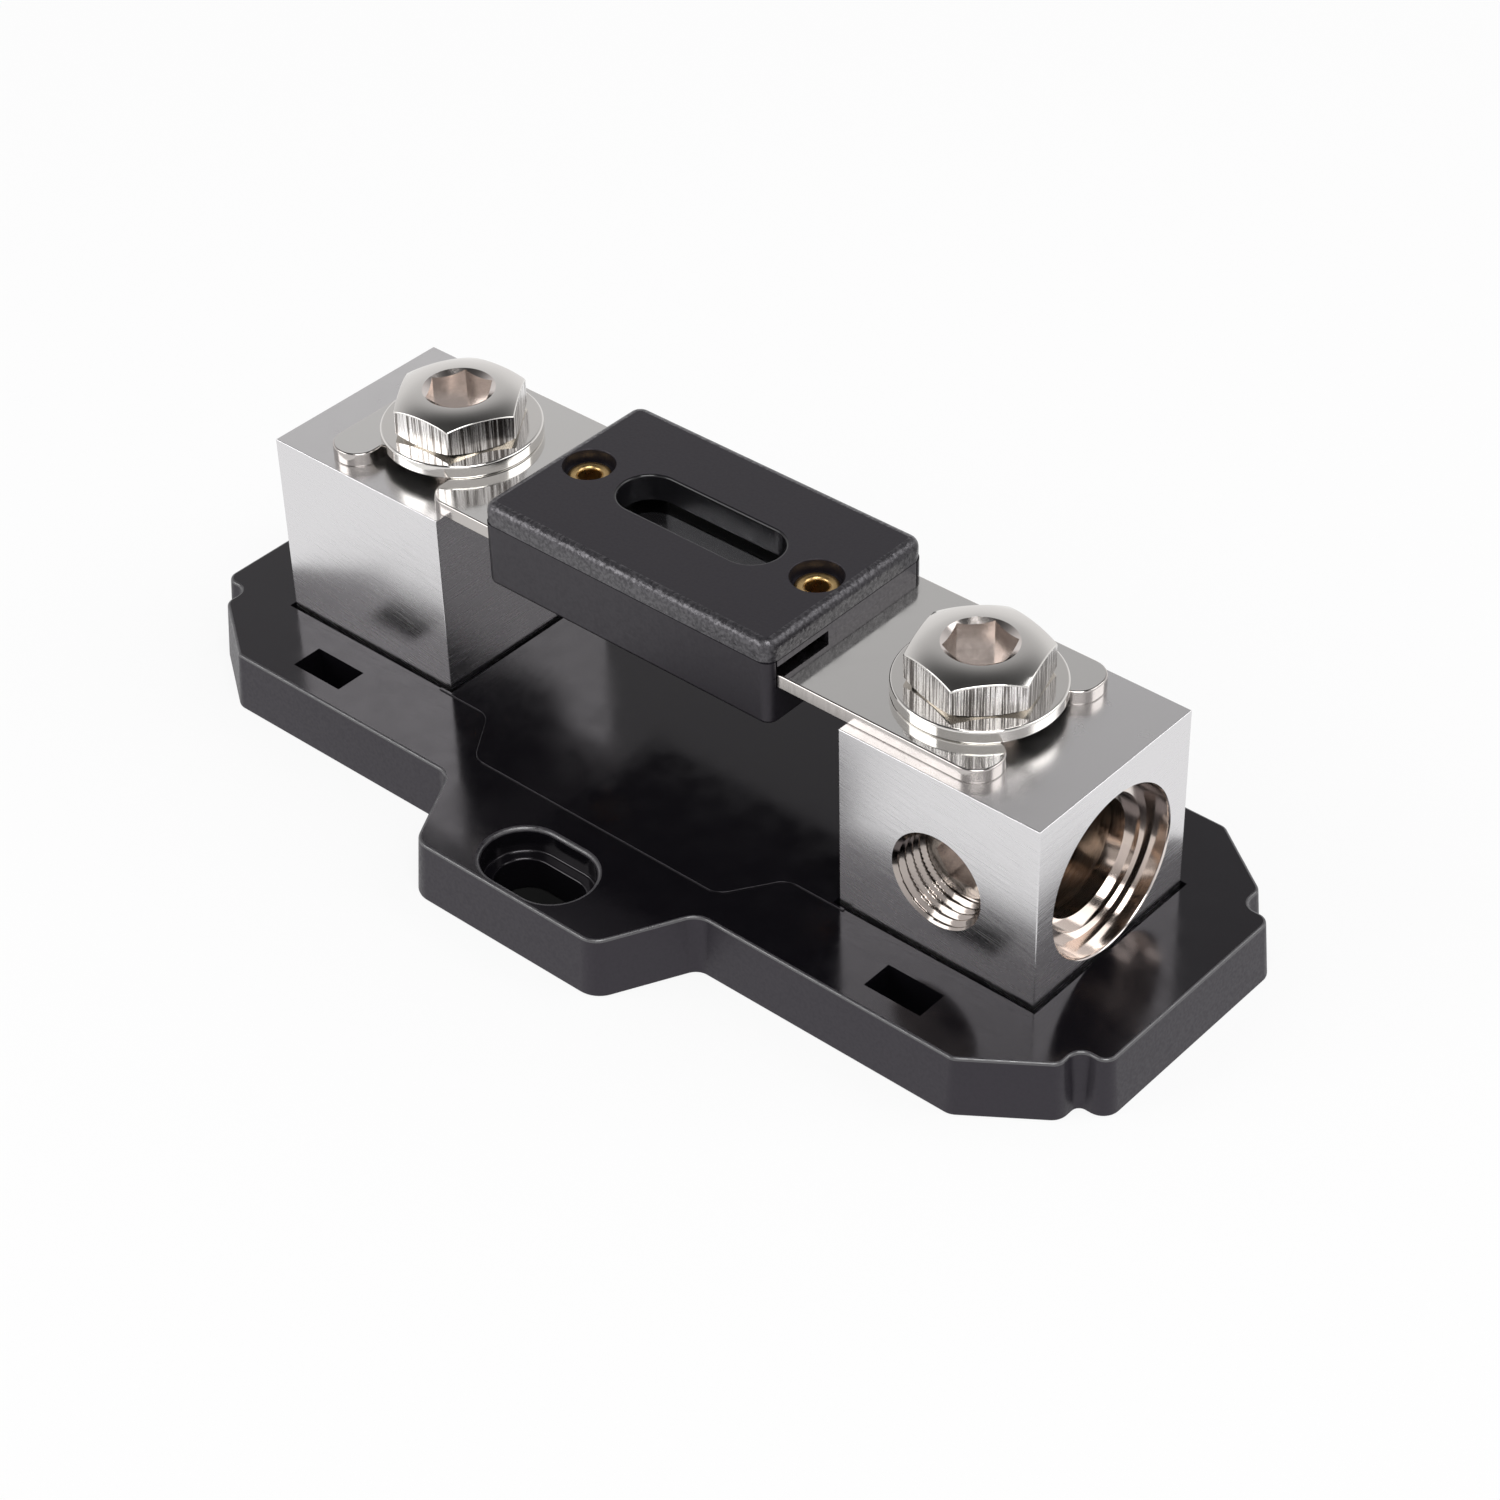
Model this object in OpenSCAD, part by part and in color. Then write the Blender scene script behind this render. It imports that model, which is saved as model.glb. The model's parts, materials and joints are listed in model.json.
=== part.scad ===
// ANL fuse holder with its fuse, shown without the cover.
// X runs along the row of terminals, Y across it, Z up from the mounting surface.

/* [Base plate] */
// Length over the two end tabs, at the foot
base_length = 115.4; // [108:0.2:130]
// Width over the two mounting ears, at the foot
base_width = 60.8; // [57:0.2:72]
// Width of the long middle part, at the foot
plate_width = 42.4; // [42:0.2:50]
// Height of the plate above the mounting surface
plate_height = 6.5; // [6:0.1:9]
// Width of each end tab
tab_width = 26; // [16:0.2:30]
// How far each end tab stands out
tab_length = 3.2; // [2:0.1:5]
// Length of the slanted corner cut, along the plate
corner_cut_length = 8.1; // [4:0.1:9]
// Width of the slanted corner cut, across the plate
corner_cut_width = 5.7; // [3:0.1:6]
// Length of a mounting ear where it leaves the plate
ear_root_length = 33.2; // [30:0.2:44]
// Length of a mounting ear at its outer edge
ear_tip_length = 23.6; // [18:0.2:28]
// Inward lean of the moulded side walls, from foot to top edge
wall_draft = 0.5; // [0:0.05:0.5]
// Rounding of the top edge
edge_round = 0.5; // [0.2:0.1:0.8]
// Height of the raised floor between the terminals
floor_step = 0.3; // [0.2:0.1:0.6]
// Width of the raised floor beside the terminals
floor_width = 23.6; // [23:0.2:26]
// Width of the raised floor in the middle of the plate
floor_wide_width = 35; // [30:0.5:38]
// Length of the wide middle part of the raised floor
floor_wide_length = 31.6; // [24:0.2:34]

/* [Mounting slots and cover holes] */
// Distance between the two mounting slots
slot_spacing = 50; // [48:0.5:60]
// Width of a mounting slot, for a 5 mm screw
slot_width = 5.8; // [5:0.1:7]
// Distance between the centres of a slot's round ends
slot_travel = 4; // [2:0.2:8]
// Extra half width of the screw-head recess over the slot
slot_ledge = 1.2; // [0.8:0.1:1.5]
// Depth of the screw-head recess
slot_recess = 2.8; // [1.5:0.1:4]
// Length of a latch hole for the cover
latch_length = 6.5; // [4:0.1:8]
// Width of a latch hole for the cover
latch_width = 3.5; // [2:0.1:3.9]
// Distance between latch holes along the plate
latch_spacing = 74.8; // [70:0.2:78]
// Distance between latch rows across the plate
latch_row_spacing = 33; // [32:0.2:34]

/* [Terminal blocks] */
// Length of a block along the row
block_length = 22.6; // [20:0.1:24]
// Width of a block across the row
block_width = 22.2; // [20:0.1:22.4]
// Height of a block
block_height = 21.5; // [20:0.1:26]
// Distance between the facing sides of the two blocks
block_gap = 50.6; // [48:0.2:56]
// Depth of the pocket that a block stands in
pocket_depth = 1; // [0.6:0.1:1.6]
// Gap between a block and the walls of its pocket
pocket_clearance = 0.45; // [0.2:0.05:0.6]
// Height of the cable bore's axis above the underside of a block
bore_height = 9.8; // [9.4:0.1:11]
// Diameter of the recess for the cable's jacket
jacket_diameter = 17.2; // [15:0.1:18]
// Depth of the recess for the cable's jacket
jacket_depth = 2.8; // [2:0.1:4]
// Outer diameter of the lip inside the jacket recess
lip_diameter = 15.9; // [14.8:0.1:16.4]
// Height of that lip above the floor of the jacket recess
lip_height = 0.7; // [0.3:0.1:1]
// Diameter of the second step of the cable bore
step_diameter = 14; // [13:0.1:14.4]
// Depth of the second step below the lip
step_depth = 1; // [0.5:0.1:2]
// Diameter of the land that guides the bare conductor
land_diameter = 12.1; // [11:0.1:12.4]
// Length of that land
land_length = 1.6; // [1:0.1:3]
// Diameter of the clamping chamber behind the land
chamber_diameter = 12.5; // [12:0.1:12.8]
// Depth of the chamber from the end face of the block
chamber_depth = 19; // [17:0.1:20]

/* [Bolts, washers and screws] */
// Distance between the two clamp bolts
bolt_spacing = 65; // [63:0.1:66]
// Thread diameter of a clamp bolt
bolt_diameter = 8; // [6:0.1:8]
// Shank length of a clamp bolt below the head
bolt_length = 7.9; // [7:0.1:8.2]
// Width across the flats of a bolt head
head_flats = 12; // [10:0.1:13]
// Height of the corners of a bolt head
head_corner_height = 3; // [2.5:0.1:5]
// Radius of the domed top of a bolt head
head_dome_radius = 19; // [12:0.5:40]
// Width across the flats of the key socket
socket_flats = 6; // [4:0.1:6]
// Depth of the key socket
socket_depth = 3.2; // [2:0.1:3.6]
// Turn of the right bolt's head about its axis
right_bolt_turn = 46; // [0:1:60]
// Turn of the left bolt's head about its axis
left_bolt_turn = 4.6; // [0:0.2:60]
// Outer diameter of a flat washer
washer_diameter = 16.2; // [14:0.1:17]
// Thickness of a flat washer
washer_thickness = 1.4; // [1:0.1:2]
// Play between a washer and the bolt's shank
washer_play = 0.3; // [0.1:0.05:0.5]
// Thread diameter of a set screw
set_screw_diameter = 10; // [8:0.1:10]
// Length of a set screw
set_screw_length = 6; // [5:0.1:7]
// Depth of the set screw's face below the side of the block
set_screw_depth = 3.7; // [2:0.1:4]
// Width across the flats of the set screw's key socket
set_socket_flats = 5; // [3:0.1:5]
// Radial play of a screw in its threaded hole
thread_play = 0.07; // [0.02:0.01:0.1]
// Thread diameter of the screws that hold a block from below
fixing_diameter = 4; // [3:0.1:4]
// Distance between a block's two fixing screws, along the row
fixing_spacing_x = 11.2; // [8:0.2:12]
// Distance between a block's two fixing screws, across the row
fixing_spacing_y = 16.2; // [16:0.1:16.6]
// Head diameter of a fixing screw
fixing_head_diameter = 7.6; // [5.5:0.1:8]
// Head height of a fixing screw
fixing_head_height = 2.2; // [1.5:0.1:2.4]
// Depth of the screw well in the underside of the plate
well_depth = 2.8; // [2.5:0.1:3.2]
// How far a fixing screw reaches into its block
fixing_reach = 3.7; // [3:0.1:3.8]

/* [Fuse] */
// Length of the fuse over its two blades
fuse_length = 82.6; // [82:0.1:88]
// Shift of the fuse along the row
fuse_shift = -0.8; // [-1:0.1:0]
// Width of the blades
blade_width = 20; // [18:0.1:20.6]
// Thickness of the blades
blade_thickness = 1.5; // [1:0.1:2]
// Width of the slot in each blade
blade_slot_width = 9.2; // [8.6:0.1:10]
// How far past the bolt's axis a blade's slot reaches
blade_slot_reach = 5; // [4.8:0.1:6]
// Length of the fuse body
fuse_body_length = 36; // [34:0.1:38]
// Width of the fuse body
fuse_body_width = 22.2; // [22:0.1:24]
// Height of the lower shell
lower_shell_height = 7; // [6.4:0.1:8]
// How far the lower shell reaches below the blades
lower_shell_drop = 4; // [2.8:0.1:4.4]
// Thickness of the upper shell's plate
upper_shell_height = 2.2; // [1.8:0.1:3]
// Rounding of the upper shell's edges
shell_round = 1; // [0.5:0.1:1.2]
// Length of the viewing window
window_length = 19.2; // [14:0.2:21]
// Width of the viewing window
window_width = 6.2; // [4:0.1:7]
// Depth of the window pane below the top
pane_recess = 2.8; // [2.4:0.1:3]
// Thickness of the window pane
pane_thickness = 0.6; // [0.4:0.1:0.7]
// Width of the fusible neck of the link
neck_width = 5; // [3:0.1:8]
// Distance between the two rivets
rivet_spacing = 28.6; // [27:0.1:29]
// Outer diameter of a rivet's rolled flange
rivet_flange_diameter = 4.4; // [3.6:0.1:4.6]
// Outer diameter of a rivet's tube
rivet_diameter = 3; // [2.4:0.1:3.2]
// Wall of a rivet's tube
rivet_wall = 0.4; // [0.3:0.05:0.5]
// Diameter of the sunk seat around a rivet
rivet_seat_diameter = 5.1; // [4.8:0.1:5.6]
// Depth of the sunk seat around a rivet
rivet_seat_depth = 1.4; // [1:0.1:1.6]

/* [Hidden] */
$fn = 64;
arc_steps = 4;
tiny = 0.01;
through = 200;

// Heights up the stack
pocket_floor = plate_height - pocket_depth;
floor_top = plate_height + floor_step;
block_top = pocket_floor + block_height;
blade_top = block_top + blade_thickness;
washer_top = blade_top + washer_thickness;
bore_z = pocket_floor + bore_height;

// Places along the row
block_inner = block_gap / 2;
block_outer = block_inner + block_length;
block_middle = (block_inner + block_outer) / 2;
bolt_x = bolt_spacing / 2;
step_start = jacket_depth - lip_height;
land_start = step_start + step_depth;
chamber_start = land_start + land_length;

// Fuse body
fuse_body_play = 0.1;
lower_floor = block_top - lower_shell_drop;
parting = lower_floor + lower_shell_height;
fuse_top = parting + upper_shell_height;
pane_top = fuse_top - pane_recess;
tongue_bottom = blade_top;
tongue_relief = 0.8;
chamber_floor = lower_floor + 1.2;
chamber_half_length = rivet_spacing / 2 - rivet_seat_diameter / 2 - 1.2;
chamber_half_width = 7;
pane_margin = 1;

// Details
head_hex_radius = head_flats / 2 / cos(30);
socket_hex_radius = socket_flats / 2 / cos(30);
set_socket_hex_radius = set_socket_flats / 2 / cos(30);
screw_chamfer = 0.7;
set_face_chamfer = 1;
countersink = 0.4;
well_play = 0.4;
fixing_play = 0.2;
rivet_play = 0.1;
prong_round = 2.4;
hook_relief_width = 1.6;
hook_relief_height = 2.6;
core_wall = 2.4;

// Unit vector along v
function unit(v) = v / norm(v);

// Inward normal of the edge from a to b of an outline that runs anticlockwise
function inward(a, b) = unit([a[1] - b[1], b[0] - a[0]]);

// Outline moved inwards by d, with mitred corners
function inset(points, d) = [
    for (i = [0 : len(points) - 1])
        let (
            last = points[(i + len(points) - 1) % len(points)],
            here = points[i],
            next = points[(i + 1) % len(points)],
            n1 = inward(last, here),
            n2 = inward(here, next)
        )
        here + d * (n1 + n2) / (1 + n1 * n2)
];

// Which way an outline turns at point i: 1 to the left, -1 to the right
function turn(points, i) =
    let (
        last = points[(i + len(points) - 1) % len(points)],
        here = points[i],
        next = points[(i + 1) % len(points)]
    )
    sign(cross(here - last, next - here));

// Arc that rounds the corner at here by radius r
function corner_arc(last, here, next, r) =
    let (
        a = unit(last - here),
        b = unit(next - here),
        half = acos(a * b) / 2,
        middle = here + unit(a + b) * r / sin(half),
        from = here + a * r / tan(half) - middle,
        to = here + b * r / tan(half) - middle,
        start = atan2(from[1], from[0]),
        sweep = (atan2(to[1], to[0]) - start + 540) % 360 - 180
    )
    [
        for (k = [0 : arc_steps])
            middle + r * [cos(start + sweep * k / arc_steps), sin(start + sweep * k / arc_steps)]
    ];

// Outline with every corner rounded, moved inwards by d
function rounded(points, radii, d = 0) =
    let (moved = inset(points, d), n = len(points))
    [
        for (i = [0 : n - 1])
            each corner_arc(
                moved[(i + n - 1) % n], moved[i], moved[(i + 1) % n],
                radii[i] - d * turn(points, i)
            )
    ];

// A quarter of an outline repeated in all four quadrants, anticlockwise
function four_quarters(quarter) = concat(
    quarter,
    [for (i = [len(quarter) - 1 : -1 : 0]) [-quarter[i][0], quarter[i][1]]],
    [for (p = quarter) [-p[0], -p[1]]],
    [for (i = [len(quarter) - 1 : -1 : 0]) [quarter[i][0], -quarter[i][1]]]
);
function four_times(quarter) = concat(
    quarter,
    [for (i = [len(quarter) - 1 : -1 : 0]) quarter[i]],
    quarter,
    [for (i = [len(quarter) - 1 : -1 : 0]) quarter[i]]
);

// Solid through a stack of outlines; each ring is [inset, height]
module moulded(points, radii, rings) {
    outlines = [for (ring = rings) rounded(points, radii, ring[0])];
    n = len(outlines[0]);
    last = len(rings) - 1;
    corners = [for (k = [0 : last]) for (p = outlines[k]) [p[0], p[1], rings[k][1]]];
    walls = [
        for (k = [0 : last - 1])
            for (i = [0 : n - 1])
                [k * n + i, k * n + n + i, k * n + n + (i + 1) % n, k * n + (i + 1) % n]
    ];
    foot = [for (i = [0 : n - 1]) i];
    top = [for (i = [n - 1 : -1 : 0]) last * n + i];
    polyhedron(corners, concat(walls, [foot], [top]));
}

// Two round ends and the stretch between them, along X
module stadium(travel, radius, height) {
    for (side = [-1, 1])
        translate([side * travel / 2, 0, 0])
            cylinder(r = radius, h = height);
    translate([-travel / 2, -radius, 0])
        cube([travel, 2 * radius, height]);
}

// Child repeated for both ends of the row; the left copy is turned half round
module at_left() {
    rotate(180)
        children();
}

// Outline of the plate at the foot, one quarter
plate_quarter = [
    [base_length / 2, tab_width / 2],
    [base_length / 2 - tab_length, tab_width / 2],
    [base_length / 2 - tab_length, plate_width / 2 - corner_cut_width],
    [base_length / 2 - tab_length - corner_cut_length, plate_width / 2],
    [ear_root_length / 2, plate_width / 2],
    [ear_tip_length / 2, base_width / 2]
];
plate_radii = [1.8, 0.8, 1.8, 1.8, 1.6, 2.8];

// Outline of the raised floor, one quarter
floor_quarter = [
    [block_inner + pocket_depth, floor_width / 2],
    [floor_wide_length / 2 + (floor_wide_width - floor_width) / 3, floor_width / 2],
    [floor_wide_length / 2, floor_wide_width / 2]
];
floor_radii = [0.2, 1, 1];

module base_plate() {
    color([0.05, 0.05, 0.055])
    difference() {
        union() {
            intersection() {
                moulded(
                    four_quarters(plate_quarter), four_times(plate_radii),
                    [
                        [-wall_draft / plate_height, -1],
                        [wall_draft, plate_height - edge_round],
                        [wall_draft + 0.3 * edge_round, plate_height - 0.3 * edge_round],
                        [wall_draft + 1.3 * edge_round, plate_height + 0.13 * edge_round],
                        [wall_draft + 1.3 * edge_round, plate_height + 1]
                    ]
                );
                translate([0, 0, plate_height / 2])
                    cube([base_length + 10, base_width + 10, plate_height], center = true);
            }
            linear_extrude(floor_top)
                polygon(rounded(four_quarters(floor_quarter), four_times(floor_radii)));
        }
        for (side = [-1, 1]) {
            translate([side * block_middle, 0, pocket_floor + through / 2])
                cube([
                    block_length + 2 * pocket_clearance,
                    block_width + 2 * pocket_clearance,
                    through
                ], center = true);
            translate([0, side * slot_spacing / 2, 0])
                mounting_slot();
            for (row = [-1, 1])
                translate([side * latch_spacing / 2, row * latch_row_spacing / 2, 0])
                    latch_hole(row);
        }
        fixing_wells();
        at_left()
            fixing_wells();
    }
}

// Slot in an ear, with a recess above for the screw's head
module mounting_slot() {
    translate([0, 0, -1])
        stadium(slot_travel, slot_width / 2, plate_height + 2);
    translate([0, 0, plate_height - slot_recess])
        stadium(slot_travel, slot_width / 2 + slot_ledge, slot_recess + 1);
}

// Through hole for a hook of the cover, with room for the hook below
module latch_hole(row) {
    translate([0, 0, plate_height / 2])
        cube([latch_length, latch_width, plate_height + 2], center = true);
    translate([0, row * hook_relief_width / 2, hook_relief_height / 2 - 0.5])
        cube([latch_length, latch_width + hook_relief_width, hook_relief_height + 1], center = true);
}

// Places of the right block's two fixing screws
module at_fixing(which) {
    translate([block_middle + which * fixing_spacing_x / 2, which * fixing_spacing_y / 2, 0])
        children();
}

// Clearance holes and head wells under the right block
module fixing_wells() {
    for (which = [-1, 1])
        at_fixing(which) {
            translate([0, 0, -1])
                cylinder(d = fixing_head_diameter + 2 * well_play, h = well_depth + 1);
            cylinder(d = fixing_diameter + 2 * fixing_play, h = plate_height);
        }
}

// The right terminal block; the left one is the same, turned half round
module terminal_block() {
    difference() {
        translate([block_inner, -block_width / 2, pocket_floor])
            cube([block_length, block_width, block_height]);
        translate([block_outer, 0, bore_z])
            rotate([0, -90, 0])
                cable_bore();
        translate([bolt_x, 0, bore_z])
            cylinder(d = bolt_diameter, h = block_top - bore_z + 1);
        translate([bolt_x, 0, block_top - countersink])
            cylinder(d1 = bolt_diameter, d2 = bolt_diameter + 4 * countersink, h = 2 * countersink);
        translate([block_middle, 0, bore_z])
            rotate([90, 0, 0])
                cylinder(d = set_screw_diameter, h = block_width);
        for (which = [-1, 1])
            at_fixing(which)
                translate([0, 0, pocket_floor - 1])
                    cylinder(d = fixing_diameter, h = fixing_reach + 1.5);
    }
}

// Turned steps of the cable bore, from the end face inwards along +Z
module cable_bore() {
    rotate_extrude()
        polygon([
            [0, -1],
            [jacket_diameter / 2, -1],
            [jacket_diameter / 2, jacket_depth],
            [lip_diameter / 2, jacket_depth],
            [lip_diameter / 2, step_start],
            [step_diameter / 2, step_start],
            [step_diameter / 2, land_start],
            [land_diameter / 2, land_start],
            [land_diameter / 2, chamber_start],
            [chamber_diameter / 2, chamber_start],
            [chamber_diameter / 2, chamber_depth],
            [0, chamber_depth + chamber_diameter / 8]
        ]);
}

module terminal_block_right() {
    color([0.78, 0.77, 0.76])
        terminal_block();
}

module terminal_block_left() {
    color([0.78, 0.77, 0.76])
        at_left()
            terminal_block();
}

// Hex head bolt with a domed top and a key socket, seated on its washer
module clamp_bolt(turned) {
    color([0.8, 0.79, 0.78])
    translate([bolt_x, 0, washer_top])
        difference() {
            union() {
                intersection() {
                    rotate(turned)
                        cylinder(r = head_hex_radius, h = 2 * head_corner_height, $fn = 6);
                    translate([0, 0, head_corner_height - sqrt(pow(head_dome_radius, 2) - pow(head_hex_radius, 2))])
                        sphere(r = head_dome_radius);
                }
                bolt_shank();
            }
            translate([0, 0, head_corner_height + 1 - socket_depth])
                rotate(turned)
                    cylinder(r = socket_hex_radius, h = socket_depth + 1, $fn = 6);
        }
}

// Shank below the head, with a chamfered end
module bolt_shank() {
    radius = bolt_diameter / 2 - thread_play;
    translate([0, 0, screw_chamfer - bolt_length])
        cylinder(r = radius, h = bolt_length - screw_chamfer + tiny);
    translate([0, 0, -bolt_length])
        cylinder(r1 = radius - screw_chamfer, r2 = radius, h = screw_chamfer);
}

module clamp_bolt_right() {
    clamp_bolt(right_bolt_turn);
}

module clamp_bolt_left() {
    at_left()
        clamp_bolt(left_bolt_turn);
}

module flat_washer() {
    color([0.82, 0.81, 0.8])
    translate([bolt_x, 0, blade_top])
        difference() {
            cylinder(d = washer_diameter, h = washer_thickness);
            translate([0, 0, -1])
                cylinder(d = bolt_diameter + 2 * washer_play, h = washer_thickness + 2);
        }
}

module flat_washer_right() {
    flat_washer();
}

module flat_washer_left() {
    at_left()
        flat_washer();
}

// Headless screw in the side of the block, with a key socket and a cup point
module set_screw() {
    radius = set_screw_diameter / 2 - thread_play;
    color([0.7, 0.69, 0.68])
    translate([block_middle, set_screw_depth - block_width / 2, bore_z])
        rotate([-90, 0, 0])
            difference() {
                rotate_extrude()
                    polygon([
                        [0, 0],
                        [radius - set_face_chamfer, 0],
                        [radius, set_face_chamfer],
                        [radius, set_screw_length - set_face_chamfer],
                        [radius - set_face_chamfer, set_screw_length],
                        [radius - 2 * set_face_chamfer, set_screw_length],
                        [0, set_screw_length - set_face_chamfer]
                    ]);
                translate([0, 0, -1])
                    cylinder(r = set_socket_hex_radius, h = set_screw_length / 2 + 1, $fn = 6);
            }
}

module set_screw_right() {
    set_screw();
}

module set_screw_left() {
    at_left()
        set_screw();
}

// Pan head screw that holds a block from below, with a key socket
module fixing_screw(which) {
    head_bottom = well_depth - fixing_head_height;
    color([0.45, 0.45, 0.46])
    at_fixing(which)
        difference() {
            union() {
                translate([0, 0, head_bottom])
                    cylinder(d = fixing_head_diameter, h = fixing_head_height);
                translate([0, 0, well_depth])
                    cylinder(
                        r = fixing_diameter / 2 - thread_play,
                        h = pocket_floor + fixing_reach - well_depth
                    );
            }
            translate([0, 0, head_bottom - 1])
                cylinder(d = fixing_diameter * 0.7, h = fixing_head_height * 0.6 + 1, $fn = 6);
        }
}

module fixing_screw_right_inner() {
    fixing_screw(-1);
}

module fixing_screw_right_outer() {
    fixing_screw(1);
}

module fixing_screw_left_inner() {
    at_left()
        fixing_screw(-1);
}

module fixing_screw_left_outer() {
    at_left()
        fixing_screw(1);
}

// One stamped strip: the right fork opens outwards, the left one to the front
module fuse_link() {
    left_end = fuse_shift - fuse_length / 2;
    right_end = fuse_shift + fuse_length / 2;
    side = blade_width / 2;
    slot = blade_slot_width / 2;
    neck = neck_width / 2;
    neck_left = fuse_shift - chamber_half_length + 1.5;
    neck_right = fuse_shift + chamber_half_length - 1.5;
    outline = [
        [right_end, -side], [right_end, -slot],
        [bolt_x - blade_slot_reach, -slot], [bolt_x - blade_slot_reach, slot],
        [right_end, slot], [right_end, side],
        [neck_right, side], [neck_right, neck], [neck_left, neck], [neck_left, side],
        [left_end, side], [left_end, -side],
        [-bolt_x - slot, -side], [-bolt_x - slot, blade_slot_reach],
        [-bolt_x + slot, blade_slot_reach], [-bolt_x + slot, -side],
        [neck_left, -side], [neck_left, -neck], [neck_right, -neck], [neck_right, -side]
    ];
    tip = prong_round;
    radii = [tip, 1.2, 3, 3, tip, tip, 1, 2, 2, 1, tip, 2, 2, 4, 4, tip, 1, 2, 2, 1];
    color([0.83, 0.82, 0.8])
    translate([0, 0, block_top])
        linear_extrude(blade_thickness)
            difference() {
                polygon(rounded(outline, radii));
                for (end = [-1, 1])
                    translate([fuse_shift + end * rivet_spacing / 2, 0])
                        circle(r = rivet_diameter / 2 + rivet_play);
            }
}

// Moves the fuse body's pieces to their place along the row
module at_fuse() {
    translate([fuse_shift, 0, 0])
        children();
}

// Tray that carries the link: a channel for the blades and a chamber under the neck
module fuse_lower_shell() {
    outline = [
        [fuse_body_length / 2, fuse_body_width / 2], [-fuse_body_length / 2, fuse_body_width / 2],
        [-fuse_body_length / 2, -fuse_body_width / 2], [fuse_body_length / 2, -fuse_body_width / 2]
    ];
    color([0.1, 0.095, 0.105])
    at_fuse()
        difference() {
            moulded(outline, [1.2, 1.2, 1.2, 1.2], [
                [0.5, lower_floor], [0.15, lower_floor + 0.15],
                [0, lower_floor + 0.5], [0, parting]
            ]);
            translate([0, 0, block_top + through / 2])
                cube([fuse_body_length + 2, blade_width + 2 * fuse_body_play, through], center = true);
            translate([0, 0, chamber_floor + through / 2])
                cube([2 * chamber_half_length, 2 * chamber_half_width, through], center = true);
            for (side = [-1, 1])
                translate([side * rivet_spacing / 2, 0, lower_floor]) {
                    translate([0, 0, -1])
                        cylinder(d = rivet_seat_diameter, h = rivet_seat_depth + 1);
                    cylinder(r = rivet_diameter / 2 + rivet_play, h = lower_shell_height);
                }
        }
}

// Cover of the fuse: a plate with soft edges and a block that fills the channel
module fuse_upper_shell() {
    outline = [
        [fuse_body_length / 2, fuse_body_width / 2], [-fuse_body_length / 2, fuse_body_width / 2],
        [-fuse_body_length / 2, -fuse_body_width / 2], [fuse_body_length / 2, -fuse_body_width / 2]
    ];
    tongue_width = blade_width - 2 * fuse_body_play;
    color([0.1, 0.095, 0.105])
    at_fuse()
        difference() {
            union() {
                moulded(outline, [1.4, 1.4, 1.4, 1.4], [
                    [0, parting], [0, fuse_top - shell_round],
                    [0.3 * shell_round, fuse_top - 0.3 * shell_round],
                    [shell_round, fuse_top]
                ]);
                translate([-fuse_body_length / 2, -tongue_width / 2, tongue_bottom])
                    cube([fuse_body_length, tongue_width, parting - tongue_bottom + 0.5]);
            }
            stadium_window();
            translate([0, 0, pane_top - through / 2])
                cube([
                    window_length + 2 * pane_margin + 2 * fuse_body_play,
                    window_width + 2 * pane_margin + 2 * fuse_body_play,
                    through
                ], center = true);
            for (side = [-1, 1]) {
                translate([side * rivet_spacing / 2, 0, fuse_top - rivet_seat_depth])
                    cylinder(d = rivet_seat_diameter, h = rivet_seat_depth + 1);
                translate([side * rivet_spacing / 2, 0, lower_floor])
                    cylinder(r = rivet_diameter / 2 + rivet_play, h = fuse_top - lower_floor);
            }
            tongue_reliefs(tongue_width);
        }
}

// Window opening through the cover
module stadium_window() {
    translate([0, 0, lower_floor])
        stadium(window_length - window_width, window_width / 2, through);
}

// Room over the front third of each blade, where it leaves the body
module tongue_reliefs(tongue_width) {
    for (side = [-1, 1])
        translate([side * fuse_body_length / 2, -tongue_width / 3, tongue_bottom])
            cube([3, tongue_width / 3 + 1, 2 * tongue_relief], center = true);
}

module fuse_window() {
    color([0.6, 0.62, 0.65, 0.4])
    at_fuse()
        translate([0, 0, pane_top - pane_thickness / 2])
            cube([
                window_length + 2 * pane_margin,
                window_width + 2 * pane_margin,
                pane_thickness
            ], center = true);
}

// Tubular rivet through both shells and the link, rolled over at both ends
module rivet() {
    top = fuse_top - rivet_seat_depth;
    bottom = lower_floor + rivet_seat_depth;
    outer = rivet_diameter / 2;
    inner = outer - rivet_wall;
    flange = rivet_flange_diameter / 2;
    color([0.78, 0.6, 0.3])
    rotate_extrude()
        polygon([
            [inner, bottom - rivet_wall],
            [flange, bottom - rivet_wall],
            [flange, bottom],
            [outer, bottom],
            [outer, top],
            [flange, top],
            [flange, top + 0.5 * rivet_wall],
            [flange - rivet_wall, top + rivet_wall],
            [inner + 0.5 * rivet_wall, top + rivet_wall],
            [inner, top + 0.5 * rivet_wall]
        ]);
}

module rivet_left() {
    at_fuse()
        translate([-rivet_spacing / 2, 0, 0])
            rivet();
}

module rivet_right() {
    at_fuse()
        translate([rivet_spacing / 2, 0, 0])
            rivet();
}

base_plate();
terminal_block_left();
terminal_block_right();
clamp_bolt_left();
clamp_bolt_right();
flat_washer_left();
flat_washer_right();
set_screw_left();
set_screw_right();
fixing_screw_left_inner();
fixing_screw_left_outer();
fixing_screw_right_inner();
fixing_screw_right_outer();
fuse_link();
fuse_lower_shell();
fuse_upper_shell();
fuse_window();
rivet_left();
rivet_right();
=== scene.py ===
import json
from itertools import product
from math import asin, cos, pi, radians, sqrt
import bpy
import numpy as np
from mathutils import Matrix, Vector
from mathutils.geometry import delaunay_2d_cdt

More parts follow.
